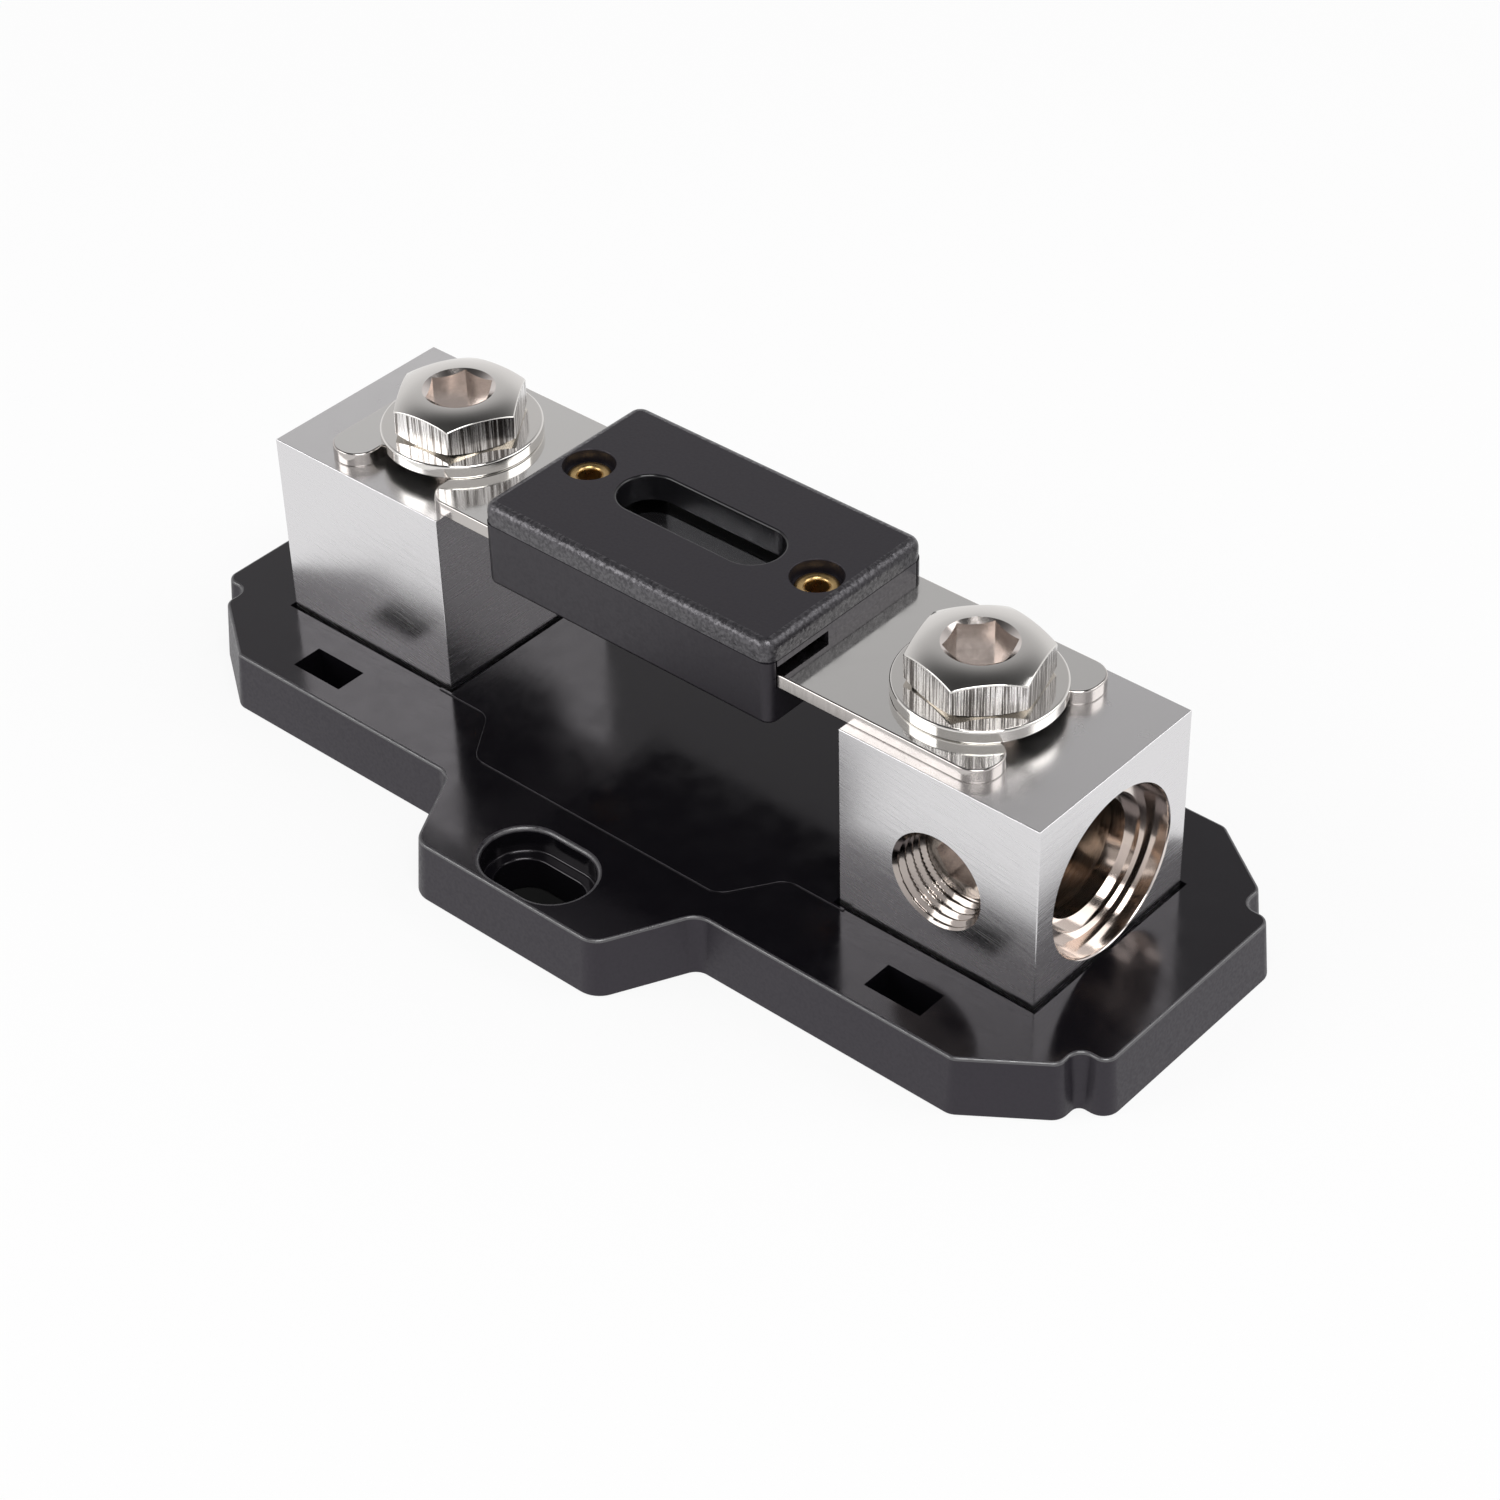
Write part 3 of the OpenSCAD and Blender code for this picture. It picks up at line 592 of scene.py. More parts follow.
thread_fade, thread_margin, crest_round = 0.5, 0.3, 0.96


def ridge(depth, turn, pitch):
    """A right-hand thread's profile: 0 at the crest, 1 in the groove, a slightly rounded triangle wave."""
    wave = np.arcsin(crest_round * np.sin(2 * pi * (depth / pitch - turn)))
    return 0.5 + wave / (2 * asin(crest_round))


def placed(patches, origin, across, axis):
    """Patches made about z, moved to an origin, with z turned to the axis and x to across."""
    frame = np.array([across, np.cross(axis, across), axis])
    return [(points @ frame + origin, normals @ frame, faces, paint)
            for points, normals, faces, paint in patches]


def threaded(radius, depths, side=1, paint=0):
    """Patch of a thread about z.

    radius(depth, turn) is its radius at a depth and a share of a turn. depths has a row for each
    ring and a column for each share. The normal is the spoke less the radius's slopes along the
    axis and around it; side is 1 for a screw and -1 for a hole.
    """
    turn = np.broadcast_to(np.arange(depths.shape[1]) / depths.shape[1], depths.shape)
    step = 1e-4
    size = radius(depths, turn)
    along = (radius(depths + step, turn) - radius(depths - step, turn)) / (2 * step)
    around = (radius(depths, turn + step) - radius(depths, turn - step)) / (4 * pi * step * size)
    x, y = np.cos(2 * pi * turn), np.sin(2 * pi * turn)
    return [grid(zip(np.stack([size * x, size * y, depths], -1),
                     side * np.stack([x + around * y, y - around * x, -along], -1)), paint=paint)]


def tapped(crest, groove, pitch, mouth, drop):
    """A threaded hole whose mouth lies drop above the chamber's axis: (radius, end).

    end(turn) is the depth at which it breaks into the chamber. radius(depth, turn) is a thread that
    fades out before that end, or the chamfer of the mouth where that is wider.
    """
    def end(turn):
        return drop - np.sqrt(chamber_radius ** 2 - (crest * np.sin(2 * pi * turn)) ** 2)

    def radius(depth, turn):
        fade = np.clip((end(turn) - depth) / thread_fade, 0, 1)
        return np.maximum(crest + (groove - crest) * fade * ridge(depth, turn, pitch), mouth - depth)
    return radius, end


def opened(patches, *planes):
    """The patches without the faces that lie in these planes, each given as (axis, value)."""
    for axis, value in planes:
        patches = [(points, normals, faces[(np.abs(points[faces][..., axis] - value) > 1e-6).any(1)],
                    paint) for points, normals, faces, paint in patches]
    return patches


def rolled(uv):
    """Lift onto the chamber's wall of (x, radius times angle), with normals that point inwards."""
    angle = uv[:, 1] / chamber_radius
    spokes = np.column_stack([0 * angle, np.cos(angle), np.sin(angle)])
    return chamber_radius * spokes + np.column_stack([uv[:, 0], 0 * angle, 0 * angle + bore_z]), -spokes


def block_patches():
    """Every surface of the right block.

    The outside is a rounded rectangle carried up, whose front and end flats are replaced by sheets
    with the mouths of the holes. The chamber's wall is a sheet over (x, radius times angle), rolled
    up round the bore's axis, with the two threaded holes cut out.
    """
    def ring(inset):
        return rounded(rectangle((block_in, block_out), (-block_half, block_half)),
                       block_edge, inset, 4)
    edge = block_edge
    patches = opened(swept(ring, [arc((-edge, block_foot + edge), edge, -90, 0, 4),
                                  arc((-edge, block_top - edge), edge, 0, 90, 4)]),
                     (0, block_out), (1, -block_half))
    xs, ys = (block_in + edge, block_out - edge), (edge - block_half, block_half - edge)
    zs = (block_foot + edge, block_top - edge)
    patches += flat([rectangle(xs, zs), ring_points((set_x, bore_z), set_mouth, 64)],
                    1, -block_half, -1)
    patches += flat([rectangle(ys, zs), ring_points((0, bore_z), bore_steps[-1][0], 96)],
                    0, block_out)
    patches += flat([rectangle(xs, ys), ring_points((bolt_x, 0), countersink)], 2, block_top, paint=1)
    patches += flat([rectangle(xs, ys)] + [ring_points(spot, blind_radius) for spot in fixing_spots],
                    2, block_foot, -1)
    for spot in fixing_spots:
        patches += turned([(0, blind_top), (blind_radius, blind_top), (blind_radius, block_foot)],
                          spot, paint=2)

    # bore: the drill's cone, the steps at its mouth, and the chamber's wall between them
    patches += placed(turned([(0, cone_end), (chamber_radius, chamber_end)], count=96, paint=4)
                      + turned(bore_steps, count=96, paint=2),
                      (block_out, 0, bore_z), (0, 1, 0), (-1, 0, 0))
    angles = np.linspace(-pi / 2, 3 * pi / 2, 97)
    far, near = block_out - chamber_end, block_out - chamber_start
    x, angle = (v.ravel() for v in np.meshgrid(np.linspace(far, near, 12)[1:-1], angles[2:-2:2]))
    loops = [np.concatenate([raised(np.full((97, 1), far), chamber_radius * angles),
                             raised(np.full((97, 1), near), chamber_radius * angles[::-1])])]
    clear = np.full(len(x), True)
    for hole_x, crest, towards, count in ((set_x, set_crest, pi, 64),
                                          (bolt_x, bolt_crest, pi / 2, 48)):
        circle = ring_points((0, 0), crest, count)
        loops.append(np.stack([hole_x + circle[:, 0], chamber_radius * (
            towards + np.arcsin(circle[:, 1] / chamber_radius))], 1))
        apart = np.hypot(x - hole_x, chamber_radius * np.sin(angle - towards))
        clear &= (np.cos(angle - towards) < 0) | (apart > crest + thread_margin)
    inner = np.column_stack([x, chamber_radius * angle])[clear]
    patches += sheet(loops, rolled, inner, paint=4)

    # threaded holes, from mouth to chamber
    for hole, rings, count, origin, axis in (
            ((set_crest, set_groove, set_pitch, set_mouth, block_half), 70, 64,
             (set_x, -block_half, bore_z), (0, 1, 0)),
            ((bolt_crest, bolt_groove, bolt_pitch, countersink, block_top - bore_z), 35, 48,
             (bolt_x, 0, block_top), (0, 0, -1))):
        radius, end = tapped(*hole)
        depths = np.linspace(0, 1, rings)[:, None] * end(np.arange(count) / count)
        patches += placed(threaded(radius, depths, -1, 3), origin, (1, 0, 0), axis)
    return patches


def metal(name, colour, scale, height, roughness, turn=(0, 0, 0)):
    """Bright metal with the fine lines that a cutter or a brush leaves."""
    return finish(name, fine_lines, scale, height, roughness, turn, base_color=colour, metallic=1.0)


def turn_half(patches):
    """The same patches, turned half round about the middle of the base."""
    return placed(patches, (0, 0, 0), (-1, 0, 0), (0, 0, 1))


# Bright plate, brushed by the cutter on its sides, smoother on top. Inside the holes it is painted darker
# as shade, in the bore's steps painted warmer as warm shade, and in the chamber painted lighter and warmer
# as a painted reflection of its lit inside.
shaded_thread_metal = metal("shaded_thread_metal", (0.42, 0.375, 0.345), 900, 1.2e-6, (0.09, 0.17))
block_paints = [
    metal("block_sides", (0.72, 0.71, 0.72), (260, 260, 5200), 1.4e-6, (0.19, 0.31),
          turn=(0, radians(-9), 0)),
    metal("block_tops", (0.74, 0.73, 0.73), 300, 0.5e-6, (0.2, 0.28)),
    metal("block_bore_warm_shade", (0.76, 0.7, 0.66), (2500, 300, 300), 0.8e-6, (0.08, 0.16)),
    shaded_thread_metal,
    metal("block_chamber_painted_light", (0.86, 0.75, 0.66), (2500, 300, 300), 2.5e-6, (0.12, 0.24))]
both_sides = (("right", list), ("left", turn_half))
for name, turn in both_sides:
    piece("terminal_block_body_" + name, turn(block_patches()), block_paints,
          "base", "terminal_block_" + name)


# Set screws. A headless screw with a fine thread, chamfered at both ends, with a six-sided key socket
# in its face and a cup point; bright plated steel. Each is screwed in from the side of its block.
set_face, set_length, set_play, set_face_radius, set_cup = -7.4, 6.0, 0.07, 3.93, 1.0
set_socket, set_socket_depth = 5 / sqrt(3), 3.0


def key_socket(radius, depth, cone=0.4, paint=0):
    """Patches of a six-sided hole along z: six flat walls, and a shallow cone as its floor."""
    rim = arc((0, 0), radius, 0, 360, 6)
    foot = raised(rim, depth)
    floor = np.stack([foot[1:], foot[:-1], np.tile((0, 0, depth + cone), (6, 1))], 1).reshape(-1, 3)
    return wall(rim, 0, depth, -1, paint) + [
        (floor, np.tile((0, 0, -1), (18, 1)), np.arange(18).reshape(-1, 3), paint)]


def set_screw_patches():
    """The right set screw: chamfered threaded side, face with the socket, and cup point."""
    def radius(depth, turn):
        thread = ridge(depth + set_face + block_half, turn, set_pitch)
        return np.minimum(set_crest - set_play + (set_groove - set_crest) * thread,
                          set_face_radius + np.minimum(depth, set_length - depth))
    depths = np.tile(np.linspace(0, set_length, 61)[:, None], 64)
    return placed([
        *threaded(radius, depths, paint=1), *key_socket(set_socket, set_socket_depth, paint=2),
        *flat([ring_points((0, 0), set_face_radius, 64), ring_points((0, 0), set_socket, 6)], 2, 0, -1),
        *turned([(set_face_radius, set_length), (set_face_radius - set_cup, set_length),
                 (0, set_length - set_cup)], count=64)],
        (set_x, set_face, bore_z), (1, 0, 0), (0, 1, 0))


screw_face = metal("screw_face", (0.8, 0.78, 0.76), 1200, 1.2e-6, (0.12, 0.22))
# socket metal: painted darker and warmer than the faces, as shade inside the key sockets
shaded_socket_metal = metal("shaded_socket_metal", (0.66, 0.61, 0.58), 900, 1.5e-6, (0.12, 0.22))
for name, turn in both_sides:
    piece("set_screw_body_" + name, turn(set_screw_patches()), [screw_face, shaded_thread_metal, shaded_socket_metal],
          "grub_" + name, "set_screw_" + name)


# Clamp bolts. A cold-formed hex head with a slightly domed top, a six-sided key socket and a coarse
# thread; bright nickel plating over steel, with the grain of the die standing on the six flats.
head_foot, foot_radius, head_radius, head_bevel, head_corner = 29.9, 5.75, 12 / sqrt(3), 0.12, 0.22
foot_slope, foot_edge, collar_width = 0.45, 0.04, 0.3
crown_height, crown_rise, crown_fall = 33.76, 0.01032, 5.879e-4
socket_radius, socket_mouth, socket_slope, socket_floor, socket_tip = 6 / sqrt(3), 3.62, 0.6, 30.7, 0.3
shank_length, shank_play, shank_end = 7.9, 0.07, 3.23
corner_steps, flat_steps = 6, 12


def dome(radius):
    """Height of the head's top at a radius: a crown that falls off towards the corners."""
    return crown_height + crown_rise * radius ** 2 - crown_fall * radius ** 4


def bolt_patches(turned_by):
    """A clamp bolt whose head is turned by that many degrees.

    All rings of the head have the same columns: seven round each corner and twelve along each flat.
    The dome's rings run from the rim to the socket's round mouth, in equal shares.
    """
    def ring(inset):
        outline = rounded(arc((0, 0), head_radius, turned_by, turned_by + 300, 5),
                          head_corner, inset, corner_steps)
        line, side = (part.reshape(6, corner_steps + 1, 2) for part in outline)
        share = np.linspace(0, 1, flat_steps + 2)[1:-1, None]
        straight = line[:, -1:] + (np.roll(line, -1, 0)[:, :1] - line[:, -1:]) * share
        side = np.concatenate([side, np.repeat(side[:, -1:], flat_steps, 1)], 1)
        return np.concatenate([line, straight], 1).reshape(-1, 2), side.reshape(-1, 2)

    def crown(line):
        size = np.linalg.norm(line, axis=1)
        fall = 2 * crown_rise * size - 4 * crown_fall * size ** 3
        return raised(line, dome(size)), raised(-spoke * fall[:, None], 1)

    rim, side = ring(0)
    top, _ = ring(head_bevel)
    reach = np.linalg.norm(rim, axis=1)
    spoke = top / np.linalg.norm(top, axis=1)[:, None]
    foot = raised(rim * (foot_radius / reach)[:, None], head_foot)
    low_rim = raised(rim, head_foot + foot_slope * (reach - foot_radius) + foot_edge)
    high_rim = raised(rim, dome(reach) - head_bevel)
    under = raised(rim / reach[:, None] * foot_slope, -1)
    flat_side = raised(side, 0)
    patches = [grid([(foot, under), (low_rim, under)]),
               grid([(low_rim, flat_side), (high_rim, flat_side)], paint=1),
               grid([(high_rim, flat_side), crown(top)]),
               grid([crown(top + (spoke * socket_mouth - top) * share)
                     for share in np.linspace(0, 1, 12)])]

    # key socket: a cone cut into the dome, six walls and a floor
    angle = np.degrees(np.arctan2(spoke[:, 1], spoke[:, 0])) - turned_by
    size = socket_radius * cos(pi / 6) / np.cos(np.radians((angle % 60) - 30))
    socket = spoke * size[:, None]
    cone = dome(socket_mouth) - socket_slope * (socket_mouth - size)
    slant = raised(-spoke * socket_slope, 1)
    patches.append(grid([(raised(spoke * socket_mouth, dome(socket_mouth)), slant),
                         (raised(socket, cone), slant)], paint=2))
    columns, half = corner_steps + 1 + flat_steps, corner_steps // 2
    for k in range(6):
        part = np.arange(columns * k + half, columns * (k + 1) + half + 1) % len(spoke)
        facing = raised(np.tile(-socket[part[0]] - socket[part[-1]], (len(part), 1)), 0)
        patches.append(grid([(raised(socket[part], cone[part]), facing),
                             (raised(socket[part], socket_floor), facing)], False, 2))
    up = raised(0 * spoke, 1)
    patches.append(grid([(raised(socket, socket_floor), up),
                         (raised(0 * socket, socket_floor - socket_tip), up)], paint=2))

    # underside and shank
    def radius(depth, turn):
        thread = ridge(depth - (head_foot - block_top), turn, bolt_pitch)
        thread = bolt_crest - shank_play + (bolt_groove - bolt_crest) * thread
        neck = bolt_groove - shank_play - np.clip(depth - 0.4, 0, 1)
        return np.minimum(np.maximum(thread, neck), shank_end + shank_length - depth)
    depths = np.tile(np.linspace(0, shank_length, 64)[:, None], 48)
    shank = threaded(radius, depths, paint=3)
    shank += turned([(shank_end, shank_length), (0, shank_length)], paint=3)
    collar = spoke * (bolt_groove + collar_width)
    patches += [grid([(foot, -up), (raised(collar, head_foot), -up)]),
                *flat([collar, ring_points((0, 0), bolt_groove - shank_play)], 2, head_foot, -1),
                *placed(shank, (0, 0, head_foot), (1, 0, 0), (0, 0, -1))]
    return placed(patches, (bolt_x, 0, 0), (1, 0, 0), (0, 0, 1))


bolt_dome = metal("bolt_dome", (0.74, 0.72, 0.69), 500, 1.0e-6, (0.09, 0.16))
bolt_flats = metal("bolt_flats", (0.7, 0.68, 0.66), (6800, 6800, 110), 8e-6, (0.16, 0.3))
# the lines on the flats also run from dark to light
tree = bolt_flats.node_tree
contrast = add_node(tree, "MapRange", {"Value": tree.nodes["Group"].outputs["Share"], "From Min": 0.4,
                                       "From Max": 0.6}, interpolation_type="SMOOTHSTEP")
streaks = add_node(tree, "Mix", {"Factor": contrast["Result"], "A": (0.16, 0.145, 0.135, 1),
                                 "B": (0.9, 0.88, 0.87, 1)}, data_type="RGBA")
tree.links.new(streaks["Result"], tree.nodes["Principled BSDF"].inputs["Base Color"])
for (name, turn), turned_by in zip(both_sides, (46, 4.6)):
    piece("clamp_bolt_body_" + name, turn(bolt_patches(turned_by)),
          [bolt_dome, bolt_flats, shaded_socket_metal, shaded_thread_metal],
          "bolt_" + name, "clamp_bolt_" + name)


# Flat washers. Blanked from steel sheet, tumbled so that all edges are soft, and bright plated. They
# lie between the bolt heads and the blades.
washer_radius, washer_hole, washer_foot, washer_start = 8.1, 4.3, 28.5, 6.2
washer_soft, washer_softer = 0.2, 0.25


def washer_patches():
    """A washer: one closed profile with four rounded edges, turned about the bolt's axis."""
    low, high, soft = washer_foot, head_foot, washer_soft
    return turned([
        (washer_start, low), arc((washer_radius - soft, low + soft), soft, -90, 0, 4),
        arc((washer_radius - washer_softer, high - washer_softer), washer_softer, 0, 90, 5),
        arc((washer_hole + soft, high - soft), soft, 90, 180, 4),
        arc((washer_hole + soft, low + soft), soft, 180, 270, 4), (washer_start, low)],
        (bolt_x, 0), count=96)


washer_metal = metal("washer_metal", (0.76, 0.74, 0.71), 600, 0.8e-6, (0.07, 0.13))
for name, turn in both_sides:
    piece("flat_washer_body_" + name, turn(washer_patches()), [washer_metal],
          "washer_" + name, "flat_washer_" + name)


# Fuse link. One stamping of silver-plated strip: a slotted blade at each end, both open to the front,
# joined by a narrow neck that melts. Its edges are slightly rounded by the punch and the plating.
link_foot, link_top, fuse_x = 27.0, 28.5, -0.8
link_foot_round, link_top_round = 0.15, 0.2
rivet_x, rivet_hole = 14.3, 1.6
rivet_spots = [(fuse_x - rivet_x, 0), (fuse_x + rivet_x, 0)]
link_corners = [(40.5, -10), (40.5, -4.6), (27.5, -4.6), (27.5, 4.6), (40.5, 4.6), (40.5, 10),
                (8.25, 10), (8.25, 2.5), (-9.85, 2.5), (-9.85, 10), (-42.1, 10), (-42.1, -10),
                (-37.1, -10), (-37.1, 5), (-27.9, 5), (-27.9, -10), (-9.85, -10), (-9.85, -2.5),
                (8.25, -2.5), (8.25, -10)]
link_radii = [2.6, 2.6, 3, 3, 2.4, 2.4, 1, 2, 2, 1, 2.4, 2.4, 2.4, 4, 4, 2.4, 1, 2, 2, 1]


def link_patches():
    """The strip: its outline carried up with rounded edges, two flat sides and the two rivet holes."""
    def ring(inset):
        return rounded(link_corners, link_radii, inset)
    low, high = link_foot_round, link_top_round
    patches = swept(ring, [arc((-low, link_foot + low), low, -90, 0, 3),
                           arc((-high, link_top - high), high, 0, 90, 4)], paint=1)
    holes = [ring_points(spot, rivet_hole) for spot in rivet_spots]
    patches += flat([ring(high)[0], *holes], 2, link_top)
    patches += flat([ring(low)[0], *holes], 2, link_foot, -1)
    for spot in rivet_spots:
        patches += turned([(rivet_hole, link_top), (rivet_hole, link_foot)], spot)
    return patches


piece("fuse_strip", link_patches(), [
    metal("link_face", (0.74, 0.73, 0.71), 500, 0.8e-6, (0.07, 0.14)),
    metal("link_edge", (0.52, 0.49, 0.47), (2500, 2500, 300), 1.2e-6, (0.1, 0.2))],
    "base", "fuse_link")


# Fuse body. Two mouldings in black phenolic, riveted together over the link: below a tray with a
# channel for the strip and a chamber under the neck, above a cover with softly rounded edges, a
# window slot and two sunk seats for the rivets. Both are matt from the fine grain of the mould.
body_half_length, body_half_width, body_foot, parting, body_top = 18.0, 11.1, 23.0, 30.0, 32.2
tray_corner, tray_round, cover_corner, cover_round = 1.2, 0.5, 1.4, 1.0
channel_half, tongue_half = 10.1, 9.9
chamber_length, chamber_width, chamber_floor = 10.55, 7.0, 24.2
seat_radius, seat_depth, seat_bevel = 2.55, 1.4, 0.1
window_length, window_radius, window_lip = 9.6, 3.1, 0.25
pane_room_length, pane_room_width, pane_top = 10.7, 4.2, 29.4
relief_depth, relief_side, relief_top = 1.5, -2.8, 29.3


def body_ring(corner, cut):
    """ring(inset) for the fuse body. Its corner arcs have a point where they pass the width cut."""
    angle = np.append(0, np.linspace(asin((cut - body_half_width + corner) / corner), pi / 2, 8))
    spokes = np.stack([np.cos(angle), np.sin(angle)], 1)

    def all_round(q):
        return np.concatenate([q, q[::-1] * (-1, 1), -q, q[::-1] * (1, -1)])

    def ring(inset):
        quarter = (body_half_length - corner, body_half_width - corner) + (corner - inset) * spokes
        return all_round(quarter) + (fuse_x, 0), all_round(spokes)
    return ring


def seats(path):
    """The two rivet seats: path turned about each rivet's axis."""
    return [p for spot in rivet_spots for p in turned(path, spot)]


def seat_rings(radius):
    """The two circles of that radius round the rivets."""
    return [ring_points(spot, radius) for spot in rivet_spots]


def box(half_length, half_width):
    """The rectangle of that size about the fuse's middle."""
    return rectangle((fuse_x - half_length, fuse_x + half_length), (-half_width, half_width))


def mirrored(points):
    """An outline from its right half, whose x counts from the fuse's middle."""
    return [(fuse_x + x, v) for x, v in points] + [(fuse_x - x, v) for x, v in points[::-1]]


def tray_patches():
    """The lower shell: outer wall, two rails beside the channel, channel floor, chamber and seats."""
    ring = body_ring(tray_corner, channel_half)
    line, side = ring(0)
    patches = swept(ring, [arc((-tray_round, body_foot + tray_round), tray_round, -90, 0, 5),
                           (0, link_foot)])
    count = len(line) // 4
    for start in (1, 2 * count + 1):
        rail, out = (part[start:start + 2 * count - 2] for part in (line, side))
        patches += swept(lambda inset: (rail, out), [(0, link_foot), (0, parting)], closed=False)
        patches += flat([rail], 2, parting) + wall([rail[-1], rail[0]], link_foot, parting)
    ends = [-2, -1, 0, 1, 2 * count - 2, 2 * count - 1, 2 * count, 2 * count + 1]
    chamber = box(chamber_length, chamber_width)
    return [*patches, *wall(chamber + chamber[:1], chamber_floor, link_foot, -1),
            *flat([line[ends], chamber, *seat_rings(rivet_hole)], 2, link_foot),
            *flat([chamber], 2, chamber_floor),
            *flat([ring(tray_round)[0], *seat_rings(seat_radius)], 2, body_foot, -1),
            *seats([(rivet_hole, link_foot), (rivet_hole, body_foot + seat_depth),
                    (seat_radius, body_foot + seat_depth), (seat_radius, body_foot)])]


def window_ring(inset):
    """The outline of the window slot, moved inwards."""
    line, out = rounded(rectangle((-window_length, window_length), (-window_radius, window_radius)),
                        window_radius, inset, 16)
    return line + (fuse_x, 0), out


def cover_patches():
    """The upper shell: plate with a rounded rim, tongue down to the blades, window, room for the
    pane, rivet seats, and the two reliefs over the blades."""
    ring = body_ring(cover_corner, tongue_half)
    line, _ = ring(0)
    room = box(pane_room_length, pane_room_width)
    patches = swept(ring, [(0, parting), arc((-cover_round, body_top - cover_round),
                                             cover_round, 0, 90, 9)], paint=2)
    patches += swept(window_ring, [arc((window_lip, body_top - window_lip),
                                       window_lip, 90, 180, 5), (0, pane_top)], paint=1)
    patches += flat([ring(cover_round)[0], window_ring(-window_lip)[0],
                     *seat_rings(seat_radius + seat_bevel)], 2, body_top)
    patches += seats([(seat_radius + seat_bevel, body_top), (seat_radius, body_top - seat_bevel),
                      (seat_radius, body_top - seat_depth), (rivet_hole, body_top - seat_depth),
                      (rivet_hole, link_top)])
    patches += flat([room, window_ring(0)[0]], 2, pane_top, -1)
    patches += wall(room + room[:1], link_top, pane_top, -1)

    # underside: the plate's two edges beside the tongue, then the tongue with its reliefs
    count = len(line) // 4
    for start in (1, 2 * count + 1):
        patches += flat([line[start:start + 2 * count - 2]], 2, parting, -1)
    end, cut, inner = body_half_length, line[1][0] - fuse_x, body_half_length - relief_depth
    straight = body_half_width - cover_corner
    low, high, top = link_top, relief_top, parting
    for side in (-1, 1):
        x, x_cut, x_in = (fuse_x + side * v for v in (end, cut, inner))
        patches += flat([[(-straight, high), (relief_side, high), (relief_side, low),
                          (straight, low), (straight, top), (-straight, top)]], 0, x, side)
        patches += flat([[(x_in, -tongue_half), (x_cut, -tongue_half), (x, -straight),
                          (x, relief_side), (x_in, relief_side)]], 2, high, -1)
        patches += wall([(x_cut, -tongue_half), (x, -straight)], high, top, side)
        patches += wall([(x, straight), (x_cut, tongue_half)], low, top, side)
        patches += wall([(x_in, -tongue_half), (x_in, relief_side), (x, relief_side)], low, high, side)
    patches += flat([mirrored([(inner, low), (inner, high), (cut, high), (cut, top)])],
                    1, -tongue_half, -1)
    patches += wall([(fuse_x - cut, tongue_half), (fuse_x + cut, tongue_half)], low, top, -1)
    foot = mirrored([(inner, -tongue_half), (inner, relief_side), (end, relief_side),
                     (end, straight), (cut, tongue_half)])
    return patches + flat([foot, room, *seat_rings(rivet_hole)], 2, low, -1)


def level_line(tree, height, middle, half_width):
    """1 where the height is within half_width of middle, both in mm, and 0 elsewhere."""
    return maths(tree, "COMPARE", height, middle * MM, half_width * MM)


def from_middle(tree, along):
    """How far along the fuse a point lies from the fuse's middle, in metres."""
    return maths(tree, "ABSOLUTE", maths(tree, "SUBTRACT", along, fuse_x * MM))


# Matt phenolic with a fine grain. A dark line marks the parting; on the two ends a second dark line is
# painted shade that stands in for the ledge below it. The window's own wall is glossier, as the slide in
# the mould left it.
plain_sheen, seam_z, seam_half, ledge_z, ledge_shade_half = 0.45, parting - 0.03, 0.07, 28.1, 0.06
body_grain = plastic("body_grain", (0.009, 0.008, 0.0105), 3200, 5e-6, (0.3, 0.42),
                     specular_ior_level=plain_sheen, specular_tint=(0.98, 0.91, 1.0))
tree = body_grain.node_tree
place = add_node(tree, "SeparateXYZ", {0: add_node(tree, "TexCoord")["Object"]})
at_ends = maths(tree, "GREATER_THAN", from_middle(tree, place["X"]), (body_half_length - 0.1) * MM)
# lower specular on the seam line and, on the ends, on the painted shade line of the ledge
lines = maths(tree, "MAXIMUM", level_line(tree, place["Z"], seam_z, seam_half), maths(
    tree, "MULTIPLY", level_line(tree, place["Z"], ledge_z, ledge_shade_half), at_ends))
tree.links.new(maths(tree, "MULTIPLY_ADD", lines, -0.42, plain_sheen),
               tree.nodes["Principled BSDF"].inputs["Specular IOR Level"])

# The cover's outer wall and rim: coarser grain that glints, painted lighter and glossier than the tray as a
# painted highlight, with painted shade that dims it towards the two ends.
body_rim_painted_highlight = plastic("body_rim_painted_highlight", (0.017, 0.016, 0.0185), 2600, 70e-6, (0.26, 0.38),
                   ior=1.6, specular_ior_level=0.9, specular_tint=(0.98, 0.95, 1.0))
tree = body_rim_painted_highlight.node_tree
place = add_node(tree, "TexCoord")["Object"]
glint = add_node(tree, "MapRange", {
    "Value": add_node(tree, "TexNoise", {"Vector": place, "Scale": 3000})["Fac"],
    "From Min": 0.4, "From Max": 0.6, "To Min": 0.5, "To Max": 0.95})
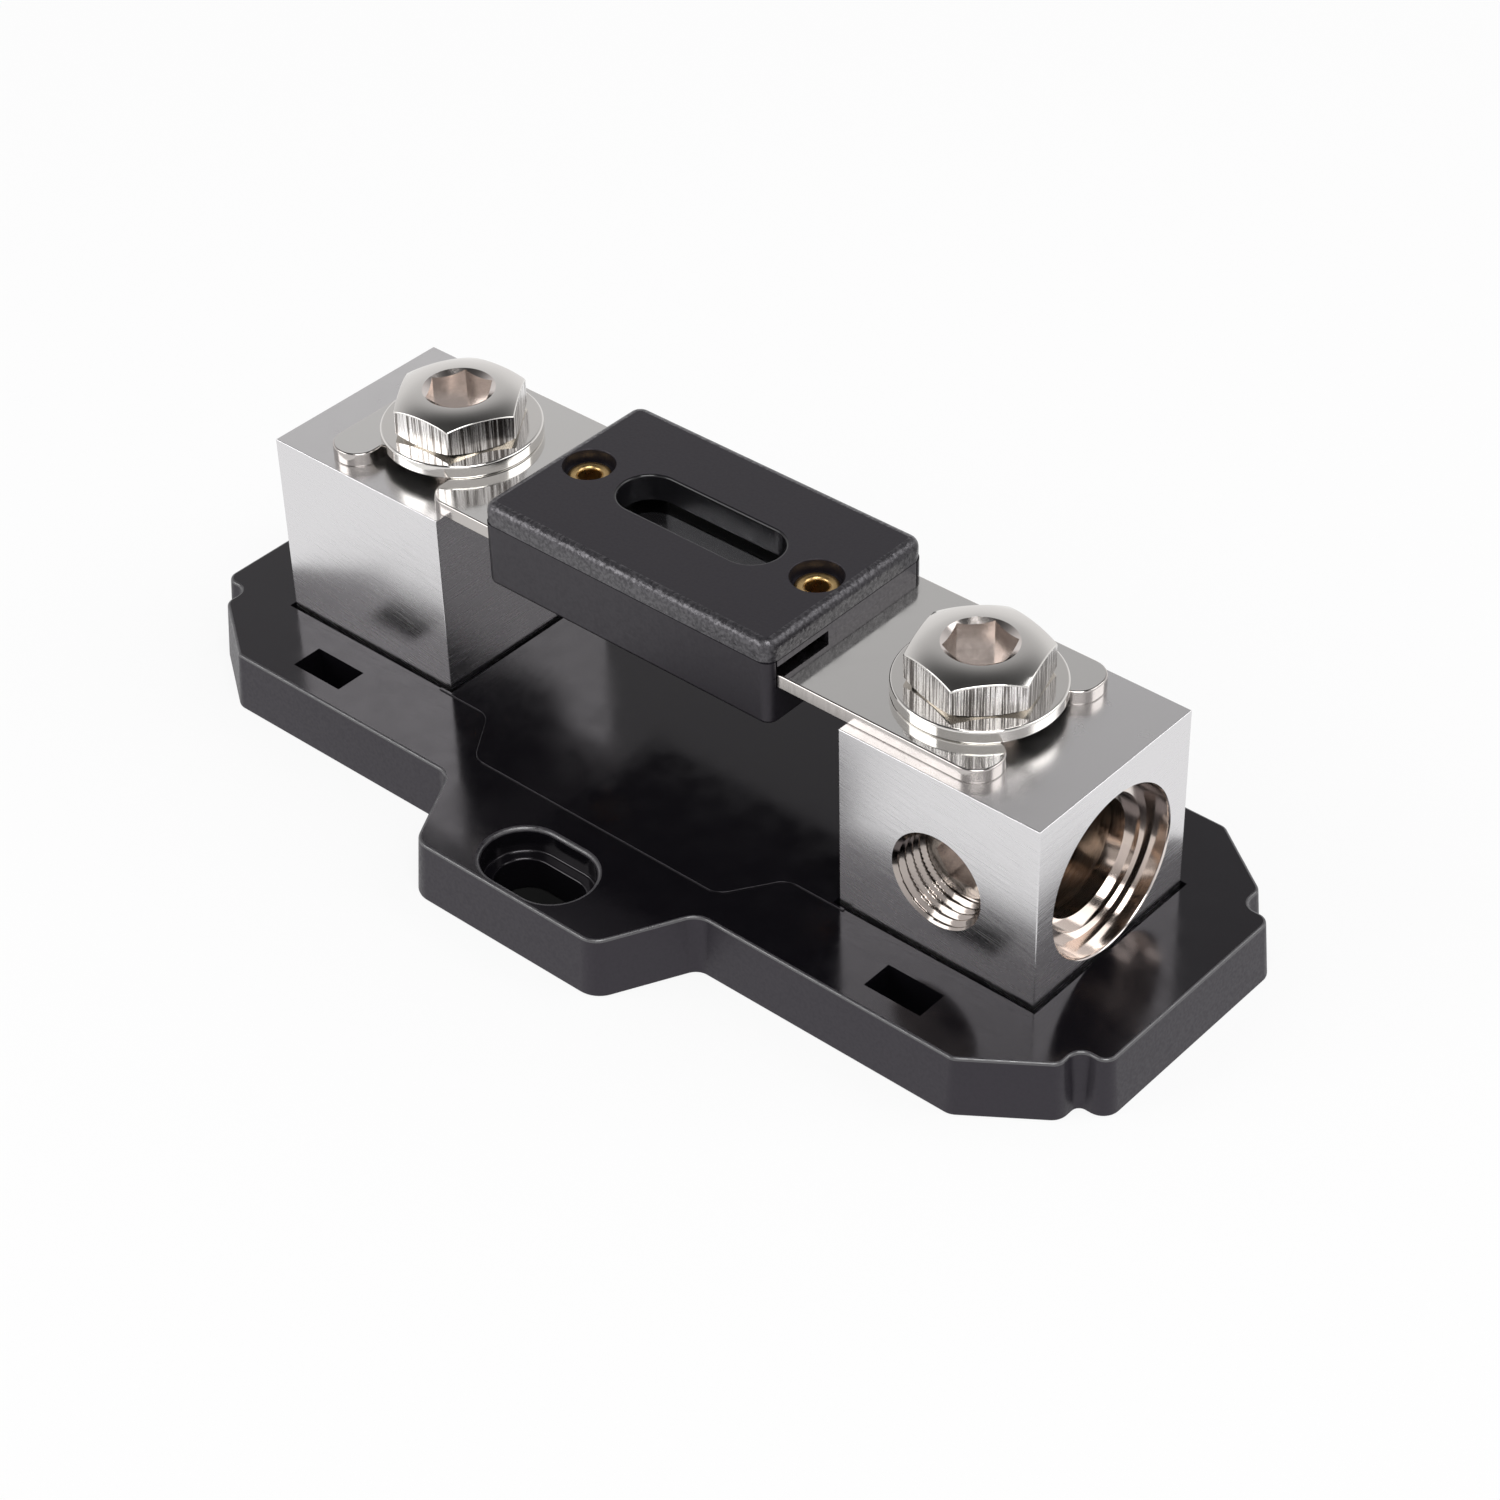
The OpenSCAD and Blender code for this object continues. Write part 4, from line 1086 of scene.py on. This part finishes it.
# painted shade: the rim's specular falls off towards the two ends of the fuse
ends_painted_shade = add_node(tree, "MapRange", {
    "Value": from_middle(tree, add_node(tree, "SeparateXYZ", {0: place})["X"]),
    "From Min": (body_half_length - 0.5) * MM, "From Max": (body_half_length - 0.05) * MM,
    "To Min": 1.0, "To Max": 0.4})
tree.links.new(maths(tree, "MULTIPLY", glint["Result"], ends_painted_shade["Result"]),
               tree.nodes["Principled BSDF"].inputs["Specular IOR Level"])
body_gloss = plastic("body_gloss", (0.008, 0.0078, 0.009), 900, 2e-6, (0.12, 0.2),
                     specular_ior_level=0.5)
piece("fuse_tray", tray_patches(), [body_grain], "base", "fuse_lower_shell")
piece("fuse_cover", cover_patches(), [body_grain, body_gloss, body_rim_painted_highlight],
      "base", "fuse_upper_shell")


# Window pane. A strip of clear, slightly smoky plastic, laid under the slot before the shells are
# riveted together. The neck of the link shows through it.
pane_half_length, pane_half_width, pane_foot, pane_corner, pane_edge = 10.6, 4.1, 28.8, 0.1, 0.05


def pane_patches():
    """A flat strip whose edges are broken by pane_edge."""
    def ring(inset):
        return rounded(box(pane_half_length, pane_half_width), pane_corner, inset, 3)
    edge = pane_edge
    return [*swept(ring, [(-edge, pane_foot), (0, pane_foot + edge), (0, pane_top - edge),
                          (-edge, pane_top)]),
            *flat([ring(edge)[0]], 2, pane_top), *flat([ring(edge)[0]], 2, pane_foot, -1)]


piece("fuse_pane", pane_patches(), [
    plastic("pane_plastic", (0.5, 0.5, 0.52), 300, 1e-6, (0.02, 0.05),
            ior=1.12, transmission_weight=1.0)], "base", "fuse_window")


# Rivets. Tubular brass rivets through both shells and the strip. Each has a flat flange below and is
# rolled over at the top, inside its sunk seat.
tube_outer, tube_inner, tube_start, flange_radius = 1.5, 1.1, 27, 2.2
flange_height, mouth_round, flange_round = 0.4, 0.15, 0.1


def rivet_patches(spot):
    """One rivet: a closed profile turned about its axis, with a round rolled rim at the top."""
    low, high = body_foot + seat_depth, body_top - seat_depth
    foot = low - flange_height
    return turned([
        (tube_inner, tube_start),
        arc((tube_inner + mouth_round, foot + mouth_round), mouth_round, 180, 270, 4),
        arc((flange_radius - flange_round, foot + flange_round), flange_round, -90, 0, 3),
        (flange_radius, low), (tube_outer, low), (tube_outer, high), (flange_radius, high),
        (flange_radius - 0.01, high + 0.1), (flange_radius - 0.07, high + 0.22),
        (flange_radius - 0.2, high + 0.33), (flange_radius - 0.42, high + 0.39),
        (tube_inner + 0.45, high + 0.39), (tube_inner + 0.22, high + 0.33),
        (tube_inner + 0.07, high + 0.2), (tube_inner, high), (tube_inner, tube_start)], spot)


brass = metal("brass", (0.6, 0.41, 0.18), 1500, 2e-6, (0.24, 0.36))
for name, spot in zip(("left", "right"), rivet_spots):
    piece("rivet_body_" + name, rivet_patches(spot), [brass], "base", "rivet_" + name)


# Fixing screws. Four small pan-head screws hold the blocks from below, out of sight in their wells.
screw_head, screw_foot, screw_round, screw_shank, screw_end, screw_tip = 3.8, 0.6, 0.5, 1.93, 9.2, 0.3
screw_socket, screw_socket_depth, screw_socket_cone = 1.4, 1.32, 0.2


def fixing_patches(spot):
    """One fixing screw: head with a rounded edge and a key socket, and a plain shank."""
    rim = screw_head - screw_round
    socket = key_socket(screw_socket, screw_socket_depth, screw_socket_cone)
    return [*placed(socket, (*spot, screw_foot), (1, 0, 0), (0, 0, 1)),
            *flat([ring_points(spot, rim), ring_points(spot, screw_socket, 6)], 2, screw_foot, -1),
            *turned([arc((rim, screw_foot + screw_round), screw_round, -90, 0, 5),
                     (screw_head, well_depth), (screw_shank, well_depth),
                     (screw_shank, screw_end - screw_tip),
                     (screw_shank - screw_tip, screw_end), (0, screw_end)], spot)]


black_steel = finish("black_steel", fine_grain, 1500, 3e-6, (0.35, 0.5),
                     base_color=(0.1, 0.1, 0.105), metallic=1.0)
for name, turn in both_sides:
    for place, spot in zip(("inner", "outer"), fixing_spots):
        piece("fixing_screw_body_%s_%s" % (name, place), turn(fixing_patches(spot)), [black_steel],
              "base", "fixing_screw_%s_%s" % (name, place))
